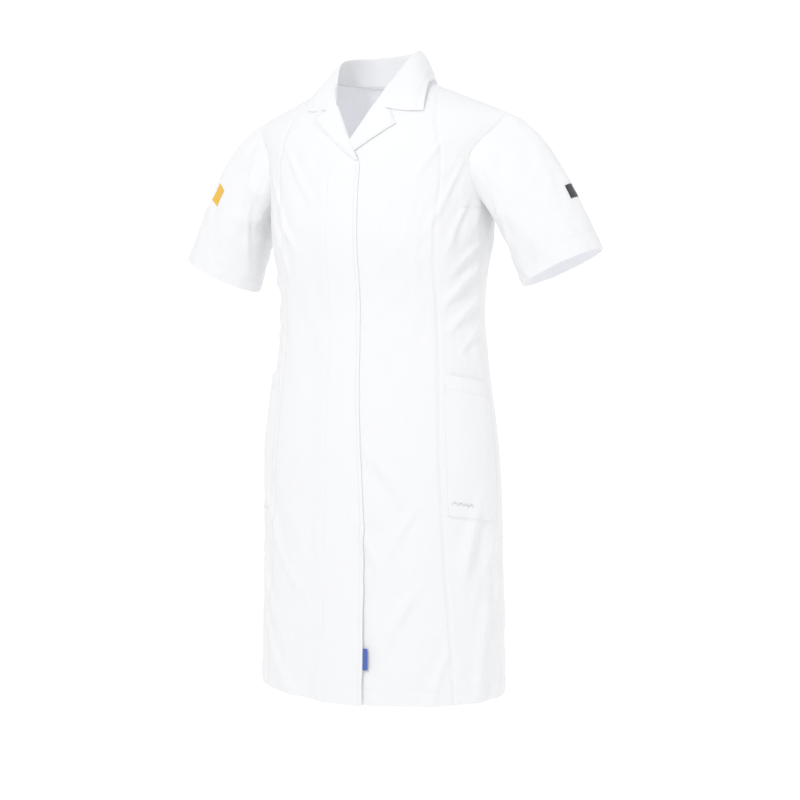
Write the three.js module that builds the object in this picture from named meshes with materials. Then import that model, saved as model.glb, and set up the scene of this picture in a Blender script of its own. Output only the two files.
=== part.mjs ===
// Short-sleeved lab coat, hanging as it does when it is worn.
// Millimetres. +X is the wearer's left, -Y the front, +Z up. The origin is the middle of the
// neck, level with the points where the shoulder seams meet the collar.
import * as THREE from "three";

const DEG = Math.PI / 180;

// ---- cloth and clearances ----
const ROW_HEIGHT = 46; // between the rows of points down a panel
const UPPER_ROWS = 5; // rows from the break of the lapels to the shoulder seam
const CLOTH = 1.2; // thickness of every cut panel
const TRIM = 0.8; // thickness of facings, bands, labels and tape
const SEAM_GAP = 1.2; // clearance where two panels meet edge to edge
const LAYER_GAP = 0.9; // clearance between two layers of cloth

// ---- heights ----
const HEM_Z = -964;
const HIP_Z = -600;
const WAIST_Z = -370;
const BUST_Z = -240;
const UNDERARM_Z = -205;
const CHEST_Z = -125;
const HEM_BAND = 24; // depth of the turned-up hem

// ---- shoulders and neck ----
const NECK_HALF = 72; // half the width of the neck seam at the shoulder
const NECK_BACK = 70; // how far the neck seam runs back at the middle
const NECK_FRONT = 60; // how far the same curve would run forward
const SHOULDER_HALF = 213; // half the width between the two sleeve seams
const SHOULDER_SLOPE = 22 * DEG;
const SHOULDER_ROUND = 110; // height over which the chest rounds up into the shoulder
const ARMHOLE_TOP = 74 * DEG; // the armhole edge, as an angle round the body
const ARMHOLE_NARROW = 60 * DEG;

// ---- body girth at each height: half width, depth in front, depth behind ----
const GIRTH = [
  { z: HEM_Z, half: 204, front: 146, back: 146 },
  { z: HIP_Z, half: 197, front: 138, back: 140 },
  { z: WAIST_Z, half: 171, front: 121, back: 112 },
  { z: BUST_Z, half: 186, front: 134, back: 117 },
  { z: CHEST_Z, half: 196, front: 120, back: 115 },
  { z: -58, half: 222, front: 105, back: 105 },
  { z: 20, half: 224, front: 95, back: 97 },
];

// ---- front opening ----
const OVERLAP = 20; // how far each front runs past the middle
const V_Z = -102; // bottom of the V, where the two break lines cross
const GORGE_X = 31; // where the lapel ends and the collar starts, on the break line
const GORGE_Z = -47;
const FLY_WIDTH = 51;
const FACING_WIDTH = 62;

// ---- princess seams: distance from the middle at the shoulder, chest, waist and hem ----
const PRINCESS_FRONT = { shoulder: 105, chest: 138, waist: 131, hem: 165 };
const PRINCESS_BACK = { shoulder: 118, chest: 112, waist: 92, hem: 118 };

// ---- lapel and collar ----
const NOTCH = { x: 52, z: -57 };
const LAPEL_TIP = { x: 70, z: -79, along: 0.72 }; // and how far up the break line it lies
const LAPEL_START = 6; // from the top stud's level to the lapel's foot
const COLLAR_LIFT = 2.4; // height of the collar and lapel over the chest

// ---- pockets ----
const POCKET_TOP = -457;
const POCKET_DEPTH = 218;
const POCKET_SLANT = 19; // drop of the mouth from its front end to its back end
const POCKET_BAND = 22;
const POCKET_INSET = 5; // from the princess seam and from the side seam
const POCKET_BAG = 10; // room inside the pocket

// ---- sleeves ----
const SLEEVE_LENGTH = 258; // along the top, from the shoulder seam to the hem
const SLEEVE_DROP = 55 * DEG; // slope of that line under the horizontal
const SLEEVE_HEM_HALF = 67;
const SLEEVE_HEM_DEPTH = 54;
const SLEEVE_HEM_TILT = 25 * DEG;
const SLEEVE_BAND = 24;

// ---- press studs ----
const STUD_COUNT = 6;
const STUD_FIRST_Z = -158;
const STUD_PITCH = 96;
const STUD_RADIUS = 5.5;
const STUD_PLATE = 0.6;
const STUD_KNOB_RADIUS = 2.2;
const STUD_KNOB = 0.8;
const STUD_CLEARANCE = 0.35;
const STUD_SEAT = 1.6; // from the left front's outer face to the stud's plate
const SOCKET_REACH = 2 * STUD_PLATE + STUD_KNOB + STUD_CLEARANCE; // stud seat to socket back

// How far the right front stands off the left one: a closed stud, a facing and the front.
const FLY_LIFT = STUD_SEAT + SOCKET_REACH + 2 * LAYER_GAP + TRIM + CLOTH;

// ---- neck label and hanger loop ----
const LABEL_WIDTH = 46;
const LABEL_HEIGHT = 62;
const SIZE_LABEL_WIDTH = 24;
const SIZE_LABEL_HEIGHT = 20;
const LOOP_SPAN = 38;
const LOOP_DROP = 46;
const LOOP_TAPE = 5;

const object = new THREE.Group();

const finish = {
  cloth: { color: 0xf2f3f7, roughness: 0.86, metalness: 0 },
  facing: { color: 0xe4e5ea, roughness: 0.88, metalness: 0 },
  label: { color: 0x15161a, roughness: 0.7, metalness: 0 },
  yellow: { color: 0xf0b81c, roughness: 0.7, metalness: 0 },
  blue: { color: 0x3a55b4, roughness: 0.7, metalness: 0 },
  tape: { color: 0xdfe1e6, roughness: 0.75, metalness: 0 },
  metal: { color: 0xb9bcc0, roughness: 0.32, metalness: 1 },
};

// ------------------------------------------------------------------ helpers

const lerp = (a, b, t) => a + (b - a) * t;
const clamp01 = (t) => Math.min(Math.max(t, 0), 1);
const smooth = (t) => clamp01(t) ** 2 * (3 - 2 * clamp01(t));

function steps(count, from = 0, to = 1) {
  return Array.from({ length: count + 1 }, (_, i) => lerp(from, to, i / count));
}

// A smooth value through rows of {z, ...}, by the height.
function atHeight(rows, key, z) {
  const last = rows.length - 1;
  let i = rows.findIndex((row) => z < row.z) - 1;
  if (i === -2) i = last - 1;
  i = Math.max(i, 0);
  const slope = (k) => {
    const low = rows[Math.max(k - 1, 0)];
    const high = rows[Math.min(k + 1, last)];
    return (high[key] - low[key]) / (high.z - low.z);
  };
  const a = rows[i];
  const b = rows[i + 1];
  const h = b.z - a.z;
  const t = clamp01((z - a.z) / h);
  const t2 = t * t;
  const t3 = t2 * t;
  return (
    (2 * t3 - 3 * t2 + 1) * a[key] +
    (t3 - 2 * t2 + t) * h * slope(i) +
    (3 * t2 - 2 * t3) * b[key] +
    (t3 - t2) * h * slope(i + 1)
  );
}

// A closed thin body between two grids of points. point(i, j, layer) gives the point, where
// layer 0 is the outer face and layer 1 the inner face. A ring closes on itself along i.
function sheet(columns, rows, point, ring = false) {
  const across = ring ? columns : columns + 1;
  const positions = [];
  for (const layer of [0, 1]) {
    for (let i = 0; i < across; i++) {
      for (let j = 0; j <= rows; j++) {
        positions.push(...point(i, j, layer).toArray());
      }
    }
  }
  const id = (i, j, layer) => layer * across * (rows + 1) + (i % across) * (rows + 1) + j;
  const faces = [];
  const quad = (a, b, c, d) => faces.push(a, b, c, a, c, d);
  for (let i = 0; i < columns; i++) {
    for (let j = 0; j < rows; j++) {
      quad(id(i, j, 0), id(i + 1, j, 0), id(i + 1, j + 1, 0), id(i, j + 1, 0));
      quad(id(i, j, 1), id(i, j + 1, 1), id(i + 1, j + 1, 1), id(i + 1, j, 1));
    }
    quad(id(i, 0, 1), id(i + 1, 0, 1), id(i + 1, 0, 0), id(i, 0, 0));
    quad(id(i, rows, 0), id(i + 1, rows, 0), id(i + 1, rows, 1), id(i, rows, 1));
  }
  if (!ring) {
    for (let j = 0; j < rows; j++) {
      quad(id(0, j, 0), id(0, j + 1, 0), id(0, j + 1, 1), id(0, j, 1));
      quad(id(columns, j, 1), id(columns, j + 1, 1), id(columns, j + 1, 0), id(columns, j, 0));
    }
  }
  const geometry = new THREE.BufferGeometry();
  geometry.setAttribute("position", new THREE.Float32BufferAttribute(positions, 3));
  geometry.setIndex(facingOut(positions, faces));
  geometry.computeVertexNormals();
  return geometry;
}

// Turns every face over when the body's volume comes out negative.
function facingOut(positions, faces) {
  const corner = (k) => new THREE.Vector3().fromArray(positions, 3 * faces[k]);
  let volume = 0;
  for (let k = 0; k < faces.length; k += 3) {
    volume += corner(k).dot(corner(k + 1).cross(corner(k + 2)));
  }
  if (volume >= 0) return faces;
  const turned = [];
  for (let k = 0; k < faces.length; k += 3) {
    turned.push(faces[k], faces[k + 2], faces[k + 1]);
  }
  return turned;
}

function add(name, geometry, look) {
  const mesh = new THREE.Mesh(geometry, new THREE.MeshStandardMaterial({ ...finish[look] }));
  mesh.name = name;
  object.add(mesh);
  return mesh;
}

// ------------------------------------------------------------------ body surface

const halfWidth = (z) => atHeight(GIRTH, "half", z);

// Height of the shoulder seam at a distance from the middle.
const shoulderZ = (x) => -Math.max(Math.abs(x) - NECK_HALF, 0) * Math.tan(SHOULDER_SLOPE);
const SHOULDER_Z = shoulderZ(SHOULDER_HALF);

// A point of the body's outer face. phi is 0 at the middle of the front, 90 degrees at the
// wearer's left side and 180 degrees at the middle of the back. Front and back stand half a
// seam gap apart, so the side seams and the shoulder seams come out as clearances.
function bodyPoint(phi, z) {
  const x = halfWidth(z) * Math.sin(phi);
  const front = Math.cos(phi) >= 0;
  const depth = atHeight(GIRTH, front ? "front" : "back", z) * Math.abs(Math.cos(phi));
  const inNeck = Math.sqrt(Math.max(1 - (x / NECK_HALF) ** 2, 0));
  const ridge = Math.min((front ? NECK_FRONT : NECK_BACK) * inNeck, depth);
  const s = clamp01((shoulderZ(x) - z) / SHOULDER_ROUND);
  const round = Math.sqrt(1 - (1 - s) ** 2);
  const y = ridge + (depth - ridge) * round + SEAM_GAP / 2;
  return new THREE.Vector3(x, front ? -y : y, z);
}

// The same point, moved out along the surface's own normal.
function bodyOffset(phi, z, out) {
  const side = Math.cos(phi) >= 0 ? 1 : -1;
  const da = 0.004;
  const dz = 0.6;
  const top = shoulderZ(halfWidth(z) * Math.sin(phi)) - 0.05;
  const high = Math.min(z + dz, Math.max(top, z));
  let low = phi - da;
  let up = phi + da;
  if (Math.cos(low) * side < 0) low = phi;
  if (Math.cos(up) * side < 0) up = phi;
  const along = bodyPoint(up, z).sub(bodyPoint(low, z));
  const rise = bodyPoint(phi, high).sub(bodyPoint(phi, z - dz));
  const normal = along.cross(rise).normalize();
  if (normal.dot(new THREE.Vector3(Math.sin(phi), -Math.cos(phi), 0.4)) < 0) normal.negate();
  return bodyPoint(phi, z).addScaledVector(normal, out);
}

const phiOf = (x, z) => Math.asin(Math.min(Math.max(x / halfWidth(z), -1), 1));
const onChest = (x, z, out) => bodyOffset(phiOf(x, z), z, out);

// The armhole edge as an angle from the middle: the side seam below, the sleeve seam above.
function armholePhi(z) {
  const u = clamp01((z - UNDERARM_Z) / (SHOULDER_Z - UNDERARM_Z));
  const opening = (Math.PI / 2 - ARMHOLE_NARROW) * (1 - Math.sqrt(u)) ** 2;
  return ARMHOLE_NARROW + opening + (ARMHOLE_TOP - ARMHOLE_NARROW) * smooth(2 * u - 1);
}

function princessPhi(seam, z) {
  const rows = [
    { z: HEM_Z, x: seam.hem },
    { z: WAIST_Z, x: seam.waist },
    { z: (WAIST_Z + CHEST_Z) / 2, x: lerp(seam.waist, seam.chest, 0.2) },
    { z: CHEST_Z, x: seam.chest },
    { z: 0, x: seam.shoulder },
  ];
  return phiOf(atHeight(rows, "x", z), z);
}

// The inner edge of a front: the front edge, then the break line, then the neck seam.
function frontEdgeX(z) {
  if (z < GORGE_Z) return Math.max(((z - V_Z) * GORGE_X) / (GORGE_Z - V_Z), -OVERLAP);
  return lerp(GORGE_X, NECK_HALF, clamp01((z - GORGE_Z) / -GORGE_Z));
}
const BREAK_Z = V_Z - (OVERLAP * (GORGE_Z - V_Z)) / GORGE_X;

// Where a column of a panel meets the shoulder seam.
function columnTop(phiAt) {
  let low = 2 * SHOULDER_Z;
  let high = 0;
  for (let k = 0; k < 40; k++) {
    const middle = (low + high) / 2;
    const x = halfWidth(middle) * Math.sin(phiAt(middle));
    if (middle < shoulderZ(x)) low = middle;
    else high = middle;
  }
  return low;
}

// Neighbouring panels share these heights, so they meet evenly along their seams.
const ROWS_TO_ARM = Math.round((UNDERARM_Z - HEM_Z) / ROW_HEIGHT);
const BELOW_ARM = [HEM_Z, ...steps(ROWS_TO_ARM, HEM_Z + HEM_BAND + LAYER_GAP, UNDERARM_Z)];
const BESIDE_ARM = (UNDERARM_Z + BREAK_Z) / 2;

// Heights from a level to the shoulder seam, closer together near the seam.
function risingTo(top, bottom) {
  return steps(UPPER_ROWS).map((q) => lerp(bottom, top, Math.sin((q * Math.PI) / 2)));
}

const toShoulder = (top) => [...BELOW_ARM, BESIDE_ARM, ...risingTo(top, BREAK_Z)];

// A panel between two edges: at the given heights, or from the hem up to the shoulder seam.
// out(phi, z) is how far its outer face stands off the body's surface.
function panel(options) {
  const { from, to, heights, above, columns, out = () => 0, thick = CLOTH, back } = options;
  const edgeGap = SEAM_GAP / 2;
  const turned = (phi) => (back ? Math.PI - phi : phi);
  const grid = steps(columns).map((p) => {
    const phiAt = (z) => {
      const room = edgeGap / halfWidth(z);
      const seam = (edge, step) => edge(z) + (edge.sewn === false ? 0 : step);
      return lerp(seam(from, room), seam(to, -room), p);
    };
    const end = columnTop(phiAt);
    const column = heights || (above === undefined ? toShoulder(end) : risingTo(end, above));
    return column.map((z) => ({ phi: phiAt(z), z }));
  });
  return sheet(columns, grid[0].length - 1, (i, j, layer) => {
    const { phi, z } = grid[i][j];
    return bodyOffset(turned(phi), z, out(phi, z) - layer * thick);
  });
}

// An edge that isn't sewn to a neighbour keeps no seam gap.
function free(edge) {
  const copy = (z) => edge(z);
  copy.sewn = false;
  return copy;
}

const mirrored = (geometry, side) => {
  if (side > 0) return geometry;
  const copy = geometry.clone().scale(-1, 1, 1);
  const index = Array.from(copy.getIndex().array);
  const position = Array.from(copy.getAttribute("position").array);
  copy.setIndex(facingOut(position, index));
  copy.computeVertexNormals();
  return copy;
};

const SIDES = [
  { word: "left", sign: 1 },
  { word: "right", sign: -1 },
];

const frontSeam = (z) => princessPhi(PRINCESS_FRONT, z);
const backSeam = (z) => princessPhi(PRINCESS_BACK, z);
const frontEdge = free((z) => phiOf(frontEdgeX(z), z));
const sideSeam = free((z) => armholePhi(z));
const INSIDE = -(CLOTH + LAYER_GAP); // outer face of a layer that lies behind a panel

// How far the overlapping right front stands off, from its edge back to the fly's stitching.
function rightLift(phi, z) {
  const reach = FLY_WIDTH + FACING_WIDTH - OVERLAP;
  const x = halfWidth(z) * Math.sin(phi);
  return FLY_LIFT * smooth((reach - x - OVERLAP) / (reach - FLY_WIDTH + OVERLAP));
}

// ------------------------------------------------------------------ body panels

function backPanels() {
  const centre = (z) => -backSeam(z);
  const shape = { from: centre, to: backSeam, columns: 14, back: true };
  add("back_centre_panel", panel(shape), "cloth");
  for (const { word, sign } of SIDES) {
    const side = panel({ from: backSeam, to: sideSeam, columns: 5, back: true });
    add(`back_side_panel_${word}`, mirrored(side, sign), "cloth");
  }
}

function sideFronts() {
  for (const { word, sign } of SIDES) {
    const side = panel({ from: frontSeam, to: sideSeam, columns: 5 });
    add(`side_front_panel_${word}`, mirrored(side, sign), "cloth");
  }
}

// The part of each front above the top stud, which stays with the shoulders.
function chestPanels() {
  for (const { word, sign } of SIDES) {
    const chest = panel({
      from: frontEdge, to: frontSeam, columns: 6, above: BREAK_Z + SEAM_GAP / 2,
      out: sign < 0 ? chestLift : undefined,
    });
    add(`front_chest_${word}`, mirrored(chest, sign), "cloth");
  }
}

// The right chest settles back onto the body towards the collar.
function chestLift(phi, z) {
  return rightLift(phi, z) * smooth((GORGE_Z - z) / (GORGE_Z - BREAK_Z));
}

function frontPanels() {
  const top = BREAK_Z - SEAM_GAP / 2;
  const aboveHem = [...BELOW_ARM.slice(1), BESIDE_ARM, top];
  const facingEdge = free((z) => phiOf(FACING_WIDTH - OVERLAP, z));
  for (const { word, sign } of SIDES) {
    const lift = sign < 0 ? rightLift : () => 0;
    const behind = (phi, z) => lift(phi, z) + INSIDE;
    const whole = { from: frontEdge, to: frontSeam, columns: 10, heights: [HEM_Z, ...aboveHem] };
    add(`front_panel_${word}`, mirrored(panel({ ...whole, out: lift }), sign), "cloth");
    const inner = { from: frontEdge, to: facingEdge, columns: 5, heights: aboveHem };
    const facing = panel({ ...inner, thick: TRIM, out: behind });
    add(`front_facing_${word}`, mirrored(facing, sign), "facing");
    const turnUp = { ...whole, heights: [HEM_Z, HEM_Z + HEM_BAND], thick: TRIM, out: behind };
    add(`front_hem_${word}`, mirrored(panel(turnUp), sign), "facing");
  }
}

function hemBands() {
  const inside = () => INSIDE;
  const band = { heights: [HEM_Z, HEM_Z + HEM_BAND], thick: TRIM, out: inside };
  const wholeBack = { from: (z) => -sideSeam(z), to: sideSeam, columns: 20, back: true };
  add("back_hem", panel({ ...band, ...wholeBack }), "facing");
  for (const { word, sign } of SIDES) {
    const side = panel({ ...band, from: frontSeam, to: sideSeam, columns: 5 });
    add(`side_front_hem_${word}`, mirrored(side, sign), "facing");
  }
}

// ------------------------------------------------------------------ pockets

function pocketPhi(p, z) {
  const inset = POCKET_INSET / halfWidth(z);
  return lerp(frontSeam(z) + inset, Math.PI / 2 - inset, p);
}

// The patch lies flat along its sewn edges and stands off between them.
function pocketPart(name, sign, low, high, lift) {
  const columns = 6;
  const rows = 5;
  const part = sheet(columns, rows, (i, j, layer) => {
    const p = i / columns;
    const depth = lerp(low, high, j / rows);
    const z = POCKET_TOP - POCKET_SLANT * p - depth;
    const bag = POCKET_BAG * Math.sin(Math.PI * p) * smooth((POCKET_DEPTH - depth) / 90);
    return bodyOffset(pocketPhi(p, z), z, LAYER_GAP + CLOTH + bag + lift - layer * CLOTH);
  });
  add(name, mirrored(part, sign), "cloth");
}

function pockets() {
  for (const { word, sign } of SIDES) {
    pocketPart(`pocket_${word}`, sign, POCKET_DEPTH, 0, 0);
    pocketPart(`pocket_hem_${word}`, sign, POCKET_BAND, 0, CLOTH + LAYER_GAP);
  }
}

// ------------------------------------------------------------------ lapels and collar

// A place on a lapel, from the break line out to the lower edge, the tip and the notch.
function lapelPlace(t, w) {
  const footZ = BREAK_Z + LAPEL_START;
  const z = lerp(footZ, GORGE_Z, t);
  const foot = { x: frontEdgeX(footZ) + LAPEL_START, z: footZ };
  const lower = t < LAPEL_TIP.along;
  const s = lower ? t / LAPEL_TIP.along : (t - LAPEL_TIP.along) / (1 - LAPEL_TIP.along);
  const from = lower ? foot : LAPEL_TIP;
  const to = lower ? LAPEL_TIP : NOTCH;
  const roll = frontEdgeX(z) + 1;
  return { x: lerp(roll, lerp(from.x, to.x, s), w), z: lerp(z, lerp(from.z, to.z, s), w) };
}

function lapels() {
  const columns = 5;
  const rows = 9;
  for (const { word, sign } of SIDES) {
    const lapel = sheet(columns, rows, (i, j, layer) => {
      const { x, z } = lapelPlace(j / rows, i / columns);
      const under = sign < 0 ? chestLift(phiOf(x, z), z) : 0;
      return onChest(x, z, under + COLLAR_LIFT - layer * CLOTH);
    });
    add(`lapel_${word}`, mirrored(lapel, sign), "cloth");
  }
}

// The collar, station by station from the middle of the back to its front end: the neck
// seam, the roll line, the middle of the fall and its outer edge.
const COLLAR = [
  { seam: [0, 68, 4], roll: [0, 60, 46], fall: [0, 76, 32], edge: [0, 88, 4] },
  { seam: [38, 56, 4], roll: [34, 49, 47], fall: [46, 68, 32], edge: [64, 80, 2] },
  { seam: [66, 18, 4], roll: [55, 14, 46], fall: [76, 22, 32], edge: [96, 24, 4] },
  { seam: [66, -22, 1], roll: [54, -26, 22], fall: [80, -34, 12], edge: [102, -38, -10] },
  { seam: [50, -66, -16], roll: [43, -68, -14], fall: [74, -72, -22], edge: [105, -66, -36] },
  { seam: [37, -88, -42], roll: [32, -94, -46], fall: [66, -92, -56], edge: [105, -76, -57] },
];

function collarCurve(key) {
  return new THREE.CatmullRomCurve3(COLLAR.map((row) => new THREE.Vector3(...row[key])));
}
const collarSeam = collarCurve("seam");
const collarRoll = collarCurve("roll");
const collarFall = collarCurve("fall");
const collarEdge = collarCurve("edge");

// Keeps a collar point in front of the chest or behind the back.
function clearOfBody(point, room) {
  if (point.z > shoulderZ(point.x) + room) return point;
  const z = Math.min(point.z, shoulderZ(point.x) - 0.5);
  const phi = phiOf(point.x, z);
  const skin = bodyOffset(point.y < 0 ? phi : Math.PI - phi, z, room);
  if (Math.abs(point.y) < Math.abs(skin.y)) point.y = skin.y;
  return point;
}

function fallPoint(t, w, out) {
  const along = Math.abs(t);
  const a = collarRoll.getPoint(along);
  const b = collarFall.getPoint(along);
  const c = collarEdge.getPoint(along);
  const curve = new THREE.QuadraticBezierCurve3(a, b, c);
  const point = curve.getPoint(w);
  const tangent = curve.getTangent(w);
  const flat = new THREE.Vector3(point.x, point.y, 0).normalize();
  const normal = flat.addScaledVector(tangent, -flat.dot(tangent)).normalize();
  point.addScaledVector(normal, out);
  const held = clearOfBody(point, COLLAR_LIFT + out);
  return new THREE.Vector3(Math.sign(t) * held.x, held.y, held.z);
}

function standPoint(t, w, out) {
  const along = Math.abs(t);
  const a = collarSeam.getPoint(along);
  const b = collarRoll.getPoint(along);
  const point = a.lerp(b, w);
  const flat = new THREE.Vector3(point.x, point.y, 0).normalize();
  point.addScaledVector(flat, out);
  return new THREE.Vector3(Math.sign(t) * point.x, point.y, point.z);
}

function collar() {
  const columns = 28;
  const rows = 5;
  const fall = sheet(columns, rows, (i, j, layer) => {
    const t = lerp(-1, 1, i / columns);
    return fallPoint(t === 0 ? 1e-6 : t, j / rows, (1 - layer) * CLOTH);
  });
  add("collar_fall", fall, "cloth");
  const reach = 0.86; // the stand runs out before the lapels
  const stand = sheet(columns, 3, (i, j, layer) => {
    const t = lerp(-reach, reach, i / columns);
    return standPoint(t === 0 ? 1e-6 : t, j / 3, -LAYER_GAP * 2 - layer * CLOTH);
  });
  add("collar_stand", stand, "cloth");
}

// ------------------------------------------------------------------ back of the neck

// Inside of the back at a distance from the middle, below the neck seam.
const insideBack = (x, z, depth) => bodyOffset(Math.PI - phiOf(x, z), z, -depth);
const NECK_ROOM = 4; // between the rounded back and what hangs inside it

const FACING_HALF = 46;
const FACING_DROP = 88;

function neckFacing() {
  const columns = 8;
  const rows = 4;
  const facing = sheet(columns, rows, (i, j, layer) => {
    const x = lerp(-FACING_HALF, FACING_HALF, i / columns);
    const drop = FACING_DROP * Math.sqrt(1 - (x / NECK_HALF) ** 2);
    return insideBack(x, lerp(-4, -drop, j / rows), NECK_ROOM + layer * TRIM);
  });
  add("back_neck_facing", facing, "facing");
}

function innerPatch(name, x, top, width, height, depth, look) {
  const patch = sheet(4, 3, (i, j, layer) => {
    const across = x + lerp(-width / 2, width / 2, i / 4);
    return insideBack(across, lerp(top, top - height, j / 3), depth + layer * TRIM);
  });
  add(name, patch, look);
}

const LABEL_DEPTH = NECK_ROOM + TRIM + 2 * LAYER_GAP;
const LOOP_DEPTH = LABEL_DEPTH + 3 * (TRIM + LAYER_GAP);

function neckLabels() {
  innerPatch("neck_label", 0, -6, LABEL_WIDTH, LABEL_HEIGHT, LABEL_DEPTH, "label");
  const depth = LABEL_DEPTH + TRIM + LAYER_GAP;
  innerPatch("size_label", 0, -30, SIZE_LABEL_WIDTH, SIZE_LABEL_HEIGHT, depth, "label");
}

const LOOP_Y = insideBack(0, -4, LOOP_DEPTH).y;

// A narrow tape sewn in at its two ends, hanging in a U.
function hangerLoop() {
  const half = LOOP_SPAN / 2;
  const drop = LOOP_DROP - half;
  const route = new THREE.CurvePath();
  const at = (x, z) => new THREE.Vector3(x, LOOP_Y, z - 4);
  route.add(new THREE.LineCurve3(at(-half, 0), at(-half, -drop)));
  route.add(new THREE.LineCurve3(at(half, -drop), at(half, 0)));
  const columns = 16;
  const loop = sheet(columns, 1, (i, j, layer) => {
    const u = i / columns;
    const side = lerp(-1, 1, u);
    const bend = Math.PI * clamp01((u - 0.25) / 0.5);
    const inner = half - (j ? LOOP_TAPE : 0);
    const x = -inner * Math.cos(bend);
    const straight = Math.max(Math.abs(side) - 0.5, 0) * 2;
    const z = -4 - drop * (1 - straight) - inner * Math.sin(bend);
    return new THREE.Vector3(x, LOOP_Y - layer * TRIM, z);
  });
  add("hanger_loop", loop, "tape");
}

// ------------------------------------------------------------------ sleeves

const SHOULDER_POINT = new THREE.Vector3(SHOULDER_HALF, 0, SHOULDER_Z);
const HEM_TOP = new THREE.Vector3(
  SHOULDER_HALF + SLEEVE_LENGTH * Math.cos(SLEEVE_DROP), 0,
  SHOULDER_Z - SLEEVE_LENGTH * Math.sin(SLEEVE_DROP),
);

// The sleeve seam: angle 0 at the shoulder, 90 degrees in front, 180 under the arm.
function armholeRing(angle) {
  const z = lerp(UNDERARM_Z, SHOULDER_Z, (1 + Math.cos(angle)) / 2);
  const phi = armholePhi(z);
  const point = bodyPoint(angle < Math.PI ? phi : Math.PI - phi, z);
  const end = Math.abs(Math.sin(angle));
  point.y *= smooth(end * 4);
  point.x += SEAM_GAP + 1.2 * (1 - Math.abs(Math.cos(angle)));
  return point;
}

function hemRing(angle) {
  const out = new THREE.Vector3(Math.cos(SLEEVE_HEM_TILT), 0, Math.sin(SLEEVE_HEM_TILT));
  const centre = HEM_TOP.clone().addScaledVector(out, -SLEEVE_HEM_HALF);
  centre.addScaledVector(out, SLEEVE_HEM_HALF * Math.cos(angle));
  centre.y = -SLEEVE_HEM_DEPTH * Math.sin(angle);
  return centre;
}

function sleeveBase(angle, t) {
  const start = armholeRing(angle);
  const end = hemRing(angle);
  const length = start.distanceTo(end);
  const top = (1 + Math.cos(angle)) / 2;
  const leave = new THREE.Vector3(1, -0.25 * Math.sin(angle), lerp(-1.1, -0.42, top)).normalize();
  const arrive = new THREE.Vector3(Math.sin(SLEEVE_HEM_TILT), 0, -Math.cos(SLEEVE_HEM_TILT));
  const curve = new THREE.CubicBezierCurve3(
    start, start.clone().addScaledVector(leave, length * 0.3),
    end.clone().addScaledVector(arrive, -length * 0.36), end,
  );
  return curve.getPoint(t);
}

function sleevePoint(angle, t, out) {
  const d = 0.01;
  const around = sleeveBase(angle + d, t).sub(sleeveBase(angle - d, t));
  const down = sleeveBase(angle, Math.min(t + d, 1)).sub(sleeveBase(angle, Math.max(t - d, 0)));
  const normal = down.cross(around).normalize();
  const centre = sleeveBase(0, t).add(sleeveBase(Math.PI, t)).multiplyScalar(0.5);
  const point = sleeveBase(angle, t);
  if (normal.dot(point.clone().sub(centre)) < 0) normal.negate();
  return point.addScaledVector(normal, out);
}

function sleeveTube(from, to, columns, rows, outer, thick) {
  return sheet(columns, rows, (i, j, layer) => {
    const angle = (2 * Math.PI * i) / columns;
    return sleevePoint(angle, lerp(from, to, j / rows), outer - layer * thick);
  }, true);
}

// A label sewn over the outer edge of the sleeve.
function sleeveLabel(name, sign, angle, spread, from, to, look) {
  const label = sheet(4, 2, (i, j, layer) => {
    const around = angle + lerp(-spread, spread, i / 4);
    return sleevePoint(around, lerp(from, to, j / 2), 1.9 - layer * TRIM);
  });
  add(name, mirrored(label, sign), look);
}

function sleeves() {
  const bandStart = 1 - SLEEVE_BAND / SLEEVE_LENGTH;
  for (const { word, sign } of SIDES) {
    add(`sleeve_${word}`, mirrored(sleeveTube(0, 1, 24, 8, 0, CLOTH), sign), "cloth");
    const band = sleeveTube(bandStart, 1, 24, 1, INSIDE, TRIM);
    add(`sleeve_hem_${word}`, mirrored(band, sign), "facing");
  }
  sleeveLabel("sleeve_label_left", 1, 0.12, 0.28, 0.56, 0.67, "label");
  sleeveLabel("sleeve_label_right", -1, 0.1, 0.28, 0.42, 0.58, "yellow");
}

// ------------------------------------------------------------------ press studs

const STUD_PROFILE = [
  [0, 0],
  [STUD_RADIUS, 0],
  [STUD_RADIUS, STUD_PLATE],
  [STUD_KNOB_RADIUS, STUD_PLATE],
  [STUD_KNOB_RADIUS, STUD_PLATE + STUD_KNOB],
  [0, STUD_PLATE + STUD_KNOB],
];
const SOCKET_BORE = STUD_KNOB_RADIUS + STUD_CLEARANCE;
const SOCKET_FLOOR = STUD_PLATE;
const SOCKET_PROFILE = [
  [0, 0],
  [STUD_RADIUS, 0],
  [STUD_RADIUS, SOCKET_FLOOR + STUD_KNOB],
  [SOCKET_BORE, SOCKET_FLOOR + STUD_KNOB],
  [SOCKET_BORE, SOCKET_FLOOR],
  [0, SOCKET_FLOOR],
];

function turned(profile) {
  const points = profile.map(([r, y]) => new THREE.Vector2(r, y));
  return new THREE.LatheGeometry(points, 16);
}

// Studs sit on the left front and point out; sockets hang on the placket and point in.
function pressStuds() {
  for (let k = 0; k < STUD_COUNT; k++) {
    const z = STUD_FIRST_Z - k * STUD_PITCH;
    const seat = onChest(0, z, STUD_SEAT);
    const out = onChest(0, z, 1).sub(onChest(0, z, 0)).normalize();
    const stud = add(`stud_${k + 1}`, turned(STUD_PROFILE), "metal");
    stud.position.copy(seat);
    stud.quaternion.setFromUnitVectors(new THREE.Vector3(0, 1, 0), out);
    const socket = add(`socket_${k + 1}`, turned(SOCKET_PROFILE), "metal");
    socket.position.copy(seat).addScaledVector(out, SOCKET_REACH);
    socket.quaternion.setFromUnitVectors(new THREE.Vector3(0, 1, 0), out.clone().negate());
  }
}

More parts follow.
